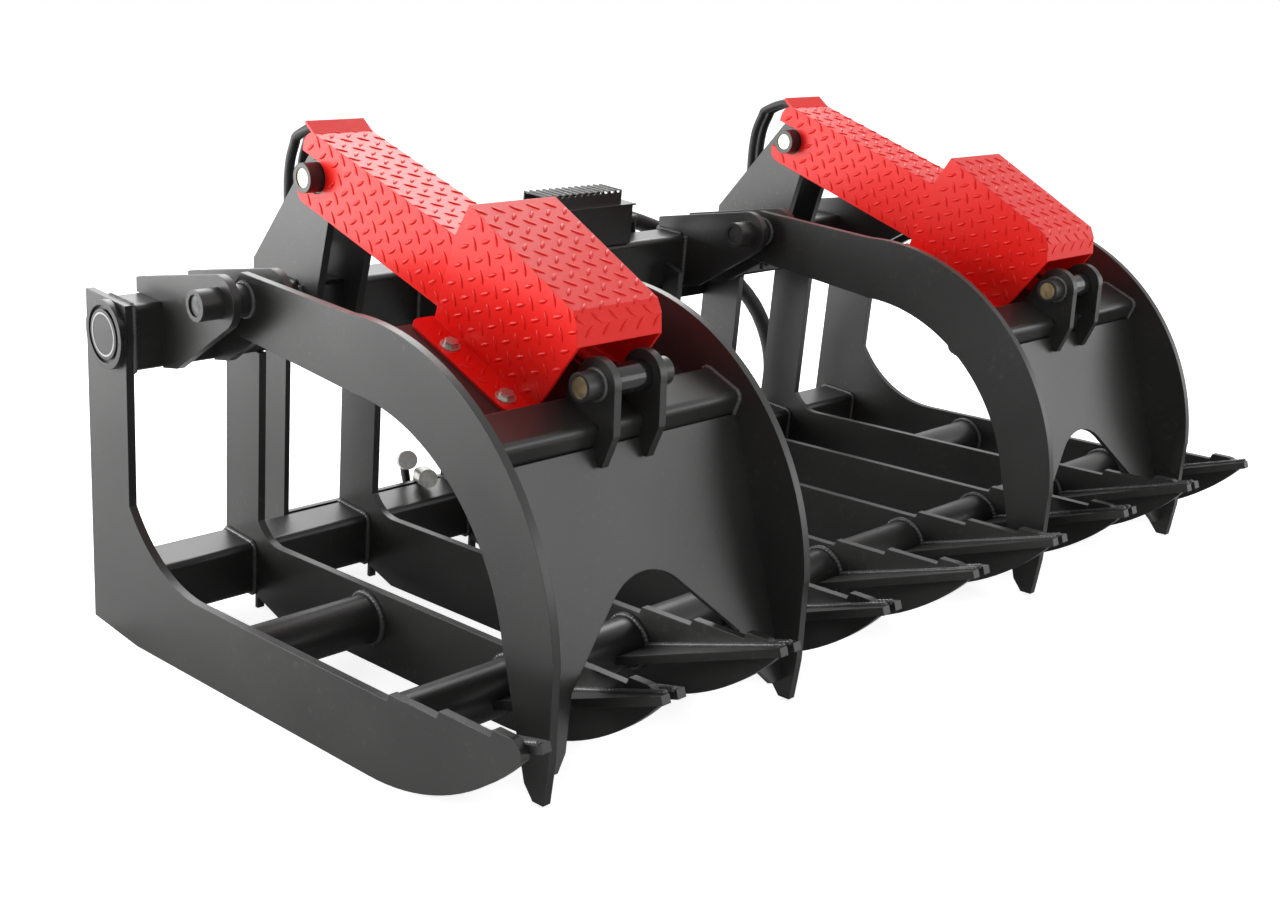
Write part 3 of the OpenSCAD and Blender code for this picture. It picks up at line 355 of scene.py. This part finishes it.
def metal_group():
    """Plated or bare metal: fine machining lines, small stains and a dull bloom."""
    tree, inp, out = group("plated_metal", [
        ("Colour", "NodeSocketColor", (0.6, 0.6, 0.6, 1)),
        ("Stain", "NodeSocketColor", (0.3, 0.28, 0.25, 1)),
        ("Roughness", "NodeSocketFloat", 0.3),
    ], [("Colour", "NodeSocketColor"), ("Roughness", "NodeSocketFloat"),
        ("Normal", "NodeSocketVector")])
    place = node(tree, "ShaderNodeTexCoord").outputs["Object"]
    bloom = span(tree, noise(tree, place, 65, 4, 0.6), 0.42, 0.68)
    grain = noise(tree, place, 900, 2)
    tree.links.new(colour(tree, bloom, inp.outputs["Colour"], inp.outputs["Stain"]),
                   out.inputs["Colour"])
    rough = maths(tree, "ADD", inp.outputs["Roughness"], maths(tree, "MULTIPLY", bloom, 0.2))
    tree.links.new(rough, out.inputs["Roughness"])
    round_edge = node(tree, "ShaderNodeBevel", samples=4, Radius=0.0008)
    bump = node(tree, "ShaderNodeBump", [("Height", grain),
                ("Normal", round_edge.outputs["Normal"])], Strength=0.4, Distance=0.00008)
    tree.links.new(bump.outputs[0], out.inputs["Normal"])
    return tree


POWDER = coat_group()
PLATED = metal_group()


def coated(name, tone, edge, rough, peel=0.00006, dust=0.2, shine=0.5):
    """A powder-coated steel with its own tones."""
    mat = bpy.data.materials.new(name)
    mat.use_nodes = True
    tree = mat.node_tree
    shader = tree.nodes["Principled BSDF"]
    g = tree.nodes.new("ShaderNodeGroup")
    g.node_tree = POWDER
    g.inputs["Colour"].default_value = (*tone, 1)
    g.inputs["Edge Colour"].default_value = (*edge, 1)
    g.inputs["Roughness"].default_value = rough
    g.inputs["Peel"].default_value = peel
    g.inputs["Dust"].default_value = dust
    tree.links.new(g.outputs["Colour"], shader.inputs["Base Color"])
    tree.links.new(g.outputs["Roughness"], shader.inputs["Roughness"])
    tree.links.new(g.outputs["Normal"], shader.inputs["Normal"])
    shader.inputs["Specular IOR Level"].default_value = shine
    return mat


def plated(name, tone, stain, rough):
    """A bare or plated metal with its own tones."""
    mat = bpy.data.materials.new(name)
    mat.use_nodes = True
    tree = mat.node_tree
    shader = tree.nodes["Principled BSDF"]
    g = tree.nodes.new("ShaderNodeGroup")
    g.node_tree = PLATED
    g.inputs["Colour"].default_value = (*tone, 1)
    g.inputs["Stain"].default_value = (*stain, 1)
    g.inputs["Roughness"].default_value = rough
    tree.links.new(g.outputs["Colour"], shader.inputs["Base Color"])
    tree.links.new(g.outputs["Roughness"], shader.inputs["Roughness"])
    tree.links.new(g.outputs["Normal"], shader.inputs["Normal"])
    shader.inputs["Metallic"].default_value = 1.0
    return mat


black_coat = coated("black_powder_coat", (0.016, 0.0155, 0.015), (0.05, 0.048, 0.046), 0.36)
lid_coat = coated("lid_powder_coat", (0.018, 0.0175, 0.017), (0.05, 0.048, 0.046), 0.34)
# The weld beads' coat is a lighter grey than the black coat beside them: a painted highlight that
# stands in for the light their ripples catch.
weld_coat_painted_highlight = coated("coated_weld_painted_highlight", (0.05, 0.05, 0.05), (0.2, 0.2, 0.2), 0.25, 0.0003, 0.1)
red_coat = coated("red_tread_coat", (0.95, 0.008, 0.005), (0.96, 0.03, 0.02), 0.3, 0.00005, 0.03,
                  shine=0.25)
barrel_paint = coated("barrel_paint", (0.012, 0.012, 0.012), (0.05, 0.05, 0.05), 0.25)
pale_paint = coated("pale_paint", (0.45, 0.45, 0.44), (0.5, 0.5, 0.5), 0.4)
badge_coat = coated("badge_coat", (0.012, 0.012, 0.012), (0.06, 0.06, 0.06), 0.3)
hose_rubber = coated("hose_rubber", (0.012, 0.012, 0.012), (0.03, 0.03, 0.03), 0.55, 0.0002)
yellow_zinc = plated("yellow_zinc", (0.80, 0.66, 0.36), (0.62, 0.42, 0.30), 0.32)
bright_zinc = plated("bright_zinc", (0.66, 0.66, 0.63), (0.42, 0.41, 0.38), 0.3)
chrome = plated("hard_chrome", (0.75, 0.76, 0.78), (0.7, 0.7, 0.72), 0.08)
oiled_steel = plated("oiled_steel", (0.10, 0.10, 0.10), (0.05, 0.05, 0.05), 0.35)


def painted_eye(mat, reach=0.025):
    """Black paint on the rod's eye: all that lies within reach of the clevis pin's axis."""
    tree = mat.node_tree
    shader = tree.nodes["Principled BSDF"]
    metal = shader.inputs["Base Color"].links[0].from_socket
    place = node(tree, "ShaderNodeTexCoord").outputs["Object"]
    parts = node(tree, "ShaderNodeSeparateXYZ", [(0, place)]).outputs
    away = [maths(tree, "POWER", maths(tree, "SUBTRACT", parts[i], float(CLEVIS[i])), 2.0)
            for i in (1, 2)]
    distance = maths(tree, "SQRT", maths(tree, "ADD", *away))
    bare = maths(tree, "GREATER_THAN", distance, reach)
    tree.links.new(colour(tree, bare, (0.012, 0.012, 0.012), metal), shader.inputs["Base Color"])
    tree.links.new(bare, shader.inputs["Metallic"])


painted_eye(chrome)

FINISHES = {
    "frame_black": black_coat, "lid_black": lid_coat, "guard_red": red_coat,
    "barrel_black": barrel_paint, "rod_chrome": chrome, "pin_zinc": yellow_zinc,
    "bolt_zinc": bright_zinc, "steel": oiled_steel, "badge": badge_coat,
    "hose": hose_rubber, "coupler_steel": bright_zinc,
}
for part in frame["record"]["subparts"]:
    solid = cad[part["node"]]
    solid.data.materials.clear()
    solid.data.materials.append(FINISHES[part["material_slot"]])


# Tread plate

LUG_PITCH = (0.0332, 0.0313)
LUG_HALF = (0.0118, 0.0037)
LUG_H = 0.0017
LUG_SINK = 0.0004


def lug_shape(lean):
    """One raised lug in the sheet's plane: a pointed lens of half length a and half width b,
    h(s, t) = H (1 - t^2) sqrt(1 - s^2) over width b (1 - s^2), turned by lean."""
    s = np.linspace(-1, 1, 7)[1:-1]
    t = np.array([-1.0, -0.5, 0.0, 0.5, 1.0])
    S, T = np.meshgrid(s, t, indexing="ij")
    u = LUG_HALF[0] * S
    v = LUG_HALF[1] * (1 - S ** 2) * T
    h = LUG_H * (1 - T ** 2) * np.sqrt(1 - S ** 2) - LUG_SINK * (np.abs(T) == 1)
    grid = np.stack([u, v, h], -1).reshape(-1, 3)
    ends = np.array([[-LUG_HALF[0], 0, -LUG_SINK], [LUG_HALF[0], 0, -LUG_SINK]])
    points = np.concatenate([grid, ends])
    c, d = math.cos(lean), math.sin(lean)
    points = points @ np.array([[c, d, 0], [-d, c, 0], [0, 0, 1]])
    n, m = len(s), len(t)
    faces = []
    for i in range(n - 1):
        for j in range(m):
            k = (j + 1) % m
            faces.append([i * m + j, (i + 1) * m + j, (i + 1) * m + k, i * m + k])
    for j in range(m):
        k = (j + 1) % m
        faces.append([n * m, j, k])
        faces.append([n * m + 1, (n - 1) * m + k, (n - 1) * m + j])
    return points, faces


def lugs(folded, u_range, v_range, keep=None, phase=(0.0, 0.0)):
    """Lugs over a sheet. Lugs that lean forward stand on a grid of (pu, pv), and those that
    lean back stand at the middles of its cells; folded(u, v, h) puts flat points in place."""
    pu, pv = LUG_PITCH
    parts = []
    for lean, shift in ((math.radians(45), 0.0), (math.radians(-45), 0.5)):
        shape, faces = lug_shape(lean)
        i = np.arange(math.floor(u_range[0] / pu) - 1, math.ceil(u_range[1] / pu) + 2)
        j = np.arange(math.floor(v_range[0] / pv) - 1, math.ceil(v_range[1] / pv) + 2)
        U, V = np.meshgrid((i + shift + phase[0]) * pu, (j + shift + phase[1]) * pv)
        U, V = U.ravel(), V.ravel()
        reach = 0.006
        ok = ((U > u_range[0] + reach) & (U < u_range[1] - reach)
              & (V > v_range[0] + reach) & (V < v_range[1] - reach))
        if keep is not None:
            ok &= keep(U, V)
        for u, v in zip(U[ok], V[ok]):
            parts.append((folded(np.clip(shape[:, 0] + u, *u_range),
                                 np.clip(shape[:, 1] + v, *v_range), shape[:, 2]), faces))
    return stack(parts)


def along_section(section):
    """A fold: maps v, the way along a section's outline, to its points and outward normals.
    The outline's length comes with it."""
    section = np.asarray(section, float)
    step = np.diff(section, axis=0)
    length = np.linalg.norm(step, axis=1)
    start = np.concatenate([[0], np.cumsum(length)])
    way = step / length[:, None]
    out = np.stack([-way[:, 1], way[:, 0]], -1)

    def place(v):
        k = np.clip(np.searchsorted(start, v, side="right") - 1, 0, len(length) - 1)
        return section[k] + way[k] * (v - start[k])[:, None], out[k]
    return place, start[-1]


UPPER_HALF_W, UPPER_TOP, UPPER_DROP = 0.0535, 0.062, 0.052
UPPER_ENDS = (-0.030, 0.420)
PIN_CLEAR = 0.034


def upper_guard_lugs(x):
    """The lugs of one upper guard, carried over its two folds without a break."""
    axes = on_cylinder(x)
    w, top, drop = UPPER_HALF_W, UPPER_TOP, UPPER_DROP
    place, total = along_section([(-w, -drop), (-w, top), (w, top), (w, -drop)])

    def folded(u, v, h):
        p, n = place(v)
        q = p + n * h[:, None]
        return axes.at(q[:, 0], u, q[:, 1])

    def keep(u, v):
        p, _ = place(v)
        on_side = np.abs(p[:, 0]) > w - 0.001
        return ~(on_side & (u < PIN_CLEAR) & (np.abs(p[:, 1]) < PIN_CLEAR))
    return lugs(folded, UPPER_ENDS, (0.0, total), keep, (0.28, -0.12))


LOWER_HALF_W = 0.078
LOWER_DROP = 0.172
FLANGE_W = 0.044
FLANGE_TOP = 0.009
FLANGE_ENDS = (0.0568, 0.285)
FLANGE_CORNER = (0.022, 0.030)
WASHER_CLEAR = 0.024
SIDE_MARGIN, TOP_MARGIN, NOSE_REACH = 0.006, 0.004, 0.022
LOWER_SIDE = np.array([(52, 4.2), (285, 4.2), (290, 140), (279, 194), (43, 172), (29, 159),
                       (16, 132)]) / 1000
GUARD_BOLTS = (0.089, 0.217)
FORWARD_AND_UP = np.array([-1.0, 0.5])


def inside(outline, u, v, margin):
    """Which points lie inside a convex outline, drawn counter-clockwise, by a margin."""
    ok = np.ones(np.shape(u), bool)
    for (a, b), (c, d) in zip(outline, np.roll(outline, -1, 0)):
        l = math.hypot(c - a, d - b)
        ok &= ((c - a) * (v - b) - (d - b) * (u - a)) / l > margin
    return ok


def lower_guard_lugs(x):
    """The lugs of one lower guard: one pattern over sides, top and nose, and one on each flange."""
    axes = on_lid_tube(x)
    back, front, nose, lip = LOWER_SIDE[3:]
    e = (back - front) / np.linalg.norm(back - front)
    up = np.array([-e[1], e[0]])
    length = np.linalg.norm(back - front)
    bend = np.linalg.norm(front - nose)
    down = [(nose - front) / bend, (lip - nose) / np.linalg.norm(lip - nose)]
    w, drop = LOWER_HALF_W, LOWER_DROP
    place, total = along_section([(-w, -drop), (-w, 0), (w, 0), (w, -drop)])

    def folded(u, v, h):
        q, n = place(v)
        on_top = np.abs(n[:, 1]) > 0.5
        flat = front + np.outer(u, e) + np.outer(q[:, 1] + n[:, 1] * h, up)
        for limit, start, way, at in ((0, 0, down[0], front), (-bend, bend, down[1], nose)):
            lower = on_top & (u < limit)
            out = np.array([-way[1], way[0]])
            out = out if out @ FORWARD_AND_UP > 0 else -out
            flat[lower] = at + np.outer(-u[lower] - start, way) + np.outer(h[lower], out)
        return axes.at(q[:, 0] + n[:, 0] * h, flat[:, 0], flat[:, 1])

    def keep(u, v):
        q, n = place(v)
        flat = front + np.outer(u, e) + np.outer(q[:, 1], up)
        side = inside(LOWER_SIDE, flat[:, 0], flat[:, 1], SIDE_MARGIN)
        top = (np.abs(q[:, 0]) < w - TOP_MARGIN) & (u > -bend - NOSE_REACH)
        return np.where(np.abs(n[:, 1]) > 0.5, top, side)
    shell = lugs(folded, (-bend - 0.03, length - 0.001), (0.0, total), keep, (0.1, 0.2))

    parts = [shell]
    for s in (-1, 1):
        def on_flange(u, v, h, s=s):
            return axes.at(s * (w + v), u, FLANGE_TOP + h)

        def clear(u, v):
            ok = np.ones(len(u), bool)
            for b in GUARD_BOLTS:
                ok &= np.hypot(u - b, v - FLANGE_W / 2) > WASHER_CLEAR
            for b in FLANGE_ENDS:
                ok &= ~((np.abs(u - b) < FLANGE_CORNER[0]) & (v > FLANGE_CORNER[1]))
            return ok
        points, faces = lugs(on_flange, FLANGE_ENDS, (0.0, FLANGE_W), clear)
        parts.append((points, [q[::-1] for q in faces] if s < 0 else faces))
    return stack(parts)


def build_guards():
    """Lugs of both upper guards and both lower guards."""
    for s, x in (("left", -LID_X), ("right", LID_X)):
        piece("upper_guard_tread_" + s, s + "_barrel", "guard_red", red_coat, upper_guard_lugs(x))
        piece("lower_guard_tread_" + s, s + "_lid", "guard_red", red_coat, lower_guard_lugs(x))


build_guards()


# Weld beads

FRONT_TUBE = (-0.436, 0.072)
STUB_TUBE = (-0.101, 0.072)
ROUND_R = 0.038
LOW_TUBE = (UPRIGHT_D - 0.04445, 0.06845, 0.04445)
TOP_TUBE = (0.0381, 0.4918, 0.0381, 0.0508)
LID_INNER = 0.2336
BEAD_OFF, SEAM_OFF, PROUD = 0.002, 0.0015, 0.001
GUSSET_SLOPE = math.radians(16.6)
GUSSET_TIP = (-0.736, 0.155)
GUSSET_L = 0.272
LUG_FACES = (0.2746, 0.3742)
BOSS_R, CLEVIS_R = 0.0240, 0.0208
TOWER_W, CLEVIS_W = 0.047, 0.049


def tine_faces():
    """The faces of every tine that cross tubes meet, with the side each one looks to."""
    for i in range(9):
        x = -HALF_W + PITCH * i
        if i > 0:
            yield x, -1, i
        if i < 8:
            yield x + PLATE, 1, i


def build_welds():
    """Beads where the tubes meet the tines, the lids' plates and the towers."""
    lean = leaning()
    round_beads, low_beads, top_beads = [], [], []
    for x, s, i in tine_faces():
        place = x + s * BEAD_OFF
        round_beads.append(bead(circle(FRONT_TUBE, ROUND_R + BEAD_OFF, place), closed=True))
        if (i, s) in ((0, 1), (1, -1), (7, 1), (8, -1)):
            round_beads.append(bead(circle(STUB_TUBE, ROUND_R + BEAD_OFF, place), closed=True))
        a, h, half = LOW_TUBE
        ring = rounded(lean, place, a, h, half + PROUD, half + PROUD, TUBE_CORNER)
        low_beads.append(bead(ring, 0.004, True))
    a, h, half_a, half_h = TOP_TUBE
    for x, away in ((LID_X - TOWER_W, -SEAM_OFF), (LID_X + TOWER_W, SEAM_OFF),
                    (LUG_FACES[0], -SEAM_OFF), (LUG_FACES[1], SEAM_OFF)):
        for s in (-1, 1):
            place = s * (x + away)
            over_top = lean.at(place, np.linspace(0.012, 2 * half_a, 9), h + half_h + PROUD)
            down_front = lean.at(place, -PROUD, np.linspace(h - half_h + 0.01, h + half_h, 9))
            top_beads += [bead(over_top), bead(down_front)]
    for s in (-1, 1):
        ring = rounded(lean, s * (HALF_W - PLATE - BEAD_OFF), a, h, half_a + PROUD,
                       half_h + PROUD, TUBE_CORNER)
        top_beads.append(bead(ring, 0.004, True))
    tip_beads = []
    for x, s, _ in tine_faces():
        way = np.linspace(0.004, GUSSET_L, 30)
        place = x + s * SEAM_OFF + 0 * way
        tip_beads.append(bead(np.stack([place, GUSSET_TIP[0] + way * math.cos(GUSSET_SLOPE),
                                        GUSSET_TIP[1] - way * math.sin(GUSSET_SLOPE)], -1), 0.0042))
    piece("tip_welds", "frame", "frame_black", weld_coat_painted_highlight, *tip_beads)
    piece("round_tube_welds", "frame", "frame_black", weld_coat_painted_highlight, *round_beads)
    piece("lower_tube_welds", "frame", "frame_black", weld_coat_painted_highlight, *low_beads)
    piece("top_tube_welds", "frame", "frame_black", weld_coat_painted_highlight, *top_beads)
    for side, x in (("left", -LID_X), ("right", LID_X)):
        parts = []
        for s in (-1, 1):
            edge = s * (LID_INNER - SEAM_OFF)
            parts.append(bead(rounded(on_lid_tube(x), edge, 0, 0, TUBE_S / 2 + PROUD,
                                      TUBE_S / 2 + PROUD, TUBE_CORNER), 0.004, True))
            parts.append(bead(on_panel(x).at(edge, np.linspace(0.01, 0.375, 40), PROUD), 0.0035))
            parts.append(bead(circle(HINGE[1:], BOSS_R, x + s * (ARM_X + PLATE / 2 + PROUD)),
                              0.004, True))
            parts.append(bead(circle(CLEVIS[1:], CLEVIS_R, x + s * (CLEVIS_W + PROUD)), 0.003, True))
        piece("lid_welds_" + side, side + "_lid", "lid_black", weld_coat_painted_highlight, *parts)
        rings = [bead(circle(TOWER[1:], BOSS_R, x + s * (TOWER_W + PROUD)), 0.0035, True)
                 for s in (-1, 1)]
        piece("tower_welds_" + side, "frame", "frame_black", weld_coat_painted_highlight, *rings)


build_welds()


# Hoses

# Routes are in millimetres: the feed lines in the frame of the uprights, the rise as (y, z) and
# the sleeve and its tails in the scene's frame. Feed lines and rise are the left side's, and the
# right side mirrors them.
FEED_LINES = [
    [(-110, 27, 582), (-150, 27, 582), (-172, 46, 578), (-186, 76, 560), (-198, 87, 530),
     (-214, 87, 492), (-236, 87, 468), (-300, 87, 468), (-530, 87, 468), (-548, 87, 474),
     (-555, 87, 492), (-558, 87, 520), (-572, 87, 548), (-576, 87, 575), (-576, 87, 592)],
    [(-110, 47, 582), (-160, 49, 581), (-194, 70, 570), (-212, 87, 544), (-226, 87, 508),
     (-250, 87, 484), (-310, 87, 484), (-518, 87, 484), (-534, 87, 489), (-541, 87, 504),
     (-543, 87, 530), (-550, 87, 552), (-552, 87, 575), (-552, 87, 592)]]
HOSE_RISE = [(240, 588), (239, 625), (238, 660), (235, 695), (228, 727), (214, 755), (203, 769)]
HOSE_OVER = 0.048
HOSE_TAIL = [(a, HOSE_OVER) for a in (-0.075, -0.045, 0.0, 0.045)]
HOSE_MIDDLE = 0.22
PORTS = (0.066, 0.402)
PORT_LAP = 0.009
PORT_X = 0.012
LINE_R, HOSE_R, SLEEVE_R = 0.00635, 0.008, 0.017
FERRULE_AT, FERRULE_R, FERRULE_L = 0.02, 0.0105, 0.03
CLAMP_BACK, CLAMP_R, CLAMP_L = 0.014, SLEEVE_R + 0.001, 0.024
SLEEVE = [(0, 220, 584), (0, 242, 586), (8, 264, 590), (28, 287, 593), (62, 308, 594),
          (110, 325, 588), (180, 336, 577), (260, 342, 562), (340, 346, 540), (420, 348, 510),
          (500, 349, 473), (580, 349, 428), (650, 349, 378), (708, 349, 322), (750, 350, 258),
          (774, 352, 190), (778, 358, 122), (758, 370, 64), (712, 385, 28), (650, 393, 17.5),
          (560, 396, 17.5), (460, 397, 17.5), (360, 397, 17.5), (260, 397, 17.5),
          (160, 397, 17.5), (60, 397, 17.5), (-40, 397, 17.5), (-120, 397, 19),
          (-180, 397, 29), (-220, 394, 55), (-242, 370, 80)]
TAILS = [
    [(-236.5, 363, 80), (-248, 346, 108), (-264, 322, 129), (-278, 300, 136), (-288, 280, 139)],
    [(-247.5, 377, 80), (-262, 364, 114), (-282, 342, 143), (-301, 316, 160), (-316, 292, 168)]]


def braided(path, radius, around=16):
    """A hose along a path: its braid stands 0.25 mm proud in two crossing spirals,
    r = R + d (sin(4t + s / 7 mm) + sin(4t - s / 7 mm)) / 2."""
    path, s = evenly(path, 0.006)
    t = np.linspace(0, 2 * np.pi, around, endpoint=False)[None]
    turn = s[:, None] / 0.007
    return carried(path, radius + 0.000125 * (np.sin(4 * t + turn) + np.sin(4 * t - turn)), around)


def ferrule(path, at, radius, length):
    """A crimped ferrule round a hose, with three rings."""
    path, s = evenly(path, 0.001)
    k = np.abs(s - at) < length / 2
    local = s[k] - at
    ripple = radius * (1.0 + 0.05 * np.cos(2 * np.pi * local / (length / 4)))
    ripple[[0, -1]] = radius * 0.8
    return carried(path[k], ripple, 20)


def build_hoses():
    """The feed lines, the hoses over the towers, the sleeve and its two tails."""
    for side, s in (("left", 1), ("right", -1)):
        mirror = np.array([s, 1, 1])
        lines = []
        for route in FEED_LINES:
            p = np.array(route) / 1000
            line = through(leaning().at(p[:, 0], p[:, 1], p[:, 2]), 6)
            lines.append(carried(mirror * line, LINE_R, 12))
        thing = piece("feed_lines_tube_" + side, "frame", "hose", hose_rubber, *lines)
        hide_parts("feed_lines_" + side)
        hoses, ends = [], []
        for k, across in enumerate((-PORT_X, PORT_X)):
            rise = [(-LID_X + across, y / 1000, z / 1000) for y, z in HOSE_RISE]
            tail = [on_cylinder(-LID_X).at(across, a, h) for a, h in HOSE_TAIL]
            tail.append(on_cylinder(-LID_X).at(across, PORTS[k] - PORT_LAP, HOSE_OVER))
            if k == 1:
                tail.insert(4, on_cylinder(-LID_X).at(across, HOSE_MIDDLE, HOSE_OVER))
            path = mirror * through(np.array(rise + [np.ravel(q) for q in tail]), 8)
            hoses.append(braided(path, HOSE_R))
            ends.append(ferrule(path, FERRULE_AT, FERRULE_R, FERRULE_L))
        thing = piece("tower_hoses_" + side, None, "hose", hose_rubber, *hoses)
        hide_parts("port_hoses_" + side)
        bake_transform(thing)
        piece("hose_ferrules_" + side, "frame", "coupler_steel", bright_zinc, *ends)
    path = through(np.array(SLEEVE) / 1000, 8)
    sleeve = piece("supply_sleeve", "frame", "hose", hose_rubber, braided(path, SLEEVE_R, 24))
    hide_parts("supply_hoses")
    tails = []
    for k, route in enumerate(TAILS):
        line = through(np.array(route) / 1000, 8)
        thing = piece("supply_tail_%d" % (k + 1), "frame", "hose", hose_rubber, braided(line, HOSE_R))
        tails.append((thing, line))
    length = float(np.linalg.norm(np.diff(path, axis=0), axis=1).sum())
    clamp = piece("sleeve_clamp", "frame", "hose", badge_coat,
                  ferrule(path, length - CLAMP_BACK, CLAMP_R, CLAMP_L))
    for k, (thing, line) in enumerate(tails):
        length = float(np.linalg.norm(np.diff(line, axis=0), axis=1).sum())


build_hoses()


# Badge

BADGE = (0.209, 0.494)
BADGE_FACE = 0.0108
RING_R = (0.0305, 0.0335)
RING_T = 0.0006


def build_badges():
    """The pale ring on each end badge's plain disc."""
    parts = []
    inner, outer = RING_R
    profile = [(inner, 0.0), (inner, RING_T), (outer, RING_T), (outer, 0.0)]
    for s in (-1, 1):
        parts.append(turned_ring(profile, (s * (HALF_W + BADGE_FACE), *BADGE), (s, 0, 0)))
    piece("badge_rings", "frame", "badge", pale_paint, *parts, smooth=False)


build_badges()


# Camera, floor and light

CAMERA_AT = (-2.0577, -2.0342, 0.9883)
CAMERA_TURN = (0.7905, 0.2737, 0.0166)
FOCAL = 46.125
FLOOR_HALF, FLOOR_SINK, FLOOR_GLOW = 12.0, 0.0005, 0.8
SURROUND = 0.5

# Name, place, target, width, height and brightness
LAMPS = [
    ("left_box", (-4.4, 3.8, 1.3), (-0.6, 0.2, 0.4), 5.0, 3.0, 7.5),
    ("right_box", (4.2, -4.6, 1.4), (-0.2, -0.5, 0.3), 5.0, 2.6, 2.1),
    ("roof_box", (1.8, 2.6, 3.4), (-0.5, 0.0, 0.6), 3.6, 3.2, 4.2),
]


def camera():
    """The photograph's viewpoint, found by fitting the frame's corners."""
    yaw, pitch, roll = CAMERA_TURN
    d = np.array([math.sin(yaw) * math.cos(pitch), math.cos(yaw) * math.cos(pitch), -math.sin(pitch)])
    r0 = np.array([math.cos(yaw), -math.sin(yaw), 0])
    u0 = np.cross(r0, d)
    r = math.cos(roll) * r0 + math.sin(roll) * u0
    u = np.cross(r, d)
    data = bpy.data.cameras.new("camera")
    data.sensor_width = 36
    data.lens = FOCAL
    cam = bpy.data.objects.new("camera", data)
    bpy.context.scene.collection.objects.link(cam)
    m = Matrix(np.stack([r, u, -d], 1).tolist()).to_4x4()
    m.translation = CAMERA_AT
    cam.matrix_world = m
    bpy.context.scene.camera = cam


def softbox(name, place, target, width, height, radiance):
    """A rectangular lamp that shows the given brightness, since P = pi L A."""
    data = bpy.data.lights.new(name, "AREA")
    data.shape = "RECTANGLE"
    data.size, data.size_y = width, height
    data.energy = radiance * math.pi * width * height
    lamp = bpy.data.objects.new(name, data)
    bpy.context.scene.collection.objects.link(lamp)
    back = np.asarray(place, float) - np.asarray(target, float)
    back /= np.linalg.norm(back)
    right = np.cross([0, 0, 1.0], back)
    right /= np.linalg.norm(right)
    m = Matrix(np.stack([right, np.cross(back, right), back], 1).tolist()).to_4x4()
    m.translation = place
    lamp.matrix_world = m


def studio():
    """A white floor that keeps the shadow, a white surround and three soft lamps."""
    size = FLOOR_HALF
    mesh = bpy.data.meshes.new("floor")
    mesh.from_pydata([(-size, -size, 0), (size, -size, 0), (size, size, 0), (-size, size, 0)],
                     [], [(0, 1, 2, 3)])
    floor = bpy.data.objects.new("floor", mesh)
    bpy.context.scene.collection.objects.link(floor)
    floor.location.z = -FLOOR_SINK
    mat = bpy.data.materials.new("floor_paper")
    mat.use_nodes = True
    shader = mat.node_tree.nodes["Principled BSDF"]
    place = node(mat.node_tree, "ShaderNodeTexCoord").outputs["Object"]
    tone = colour(mat.node_tree, noise(mat.node_tree, place, 1.5), (0.86, 0.86, 0.86),
                  (0.88, 0.88, 0.88))
    mat.node_tree.links.new(tone, shader.inputs["Base Color"])
    shader.inputs["Roughness"].default_value = 0.9
    shader.inputs["Specular IOR Level"].default_value = 0.1
    path = node(mat.node_tree, "ShaderNodeLightPath")
    shader.inputs["Emission Color"].default_value = (1, 1, 1, 1)
    seen = maths(mat.node_tree, "MULTIPLY", path.outputs["Is Camera Ray"], FLOOR_GLOW)
    mat.node_tree.links.new(seen, shader.inputs["Emission Strength"])
    mesh.materials.append(mat)

    world = bpy.data.worlds.new("surround")
    bpy.context.scene.world = world
    world.use_nodes = True
    tree = world.node_tree
    back = tree.nodes["Background"]
    back.inputs["Color"].default_value = (1, 1, 1, 1)
    rays = node(tree, "ShaderNodeLightPath")
    direct = maths(tree, "MAXIMUM", rays.outputs["Is Camera Ray"], rays.outputs["Is Glossy Ray"])
    direct = maths(tree, "MAXIMUM", direct, rays.outputs["Is Transmission Ray"])
    tree.links.new(span(tree, direct, 0, 1, SURROUND, 1.0), back.inputs["Strength"])
    for lamp in LAMPS:
        softbox(*lamp)
    bpy.context.scene.view_settings.view_transform = "Standard"


camera()
studio()
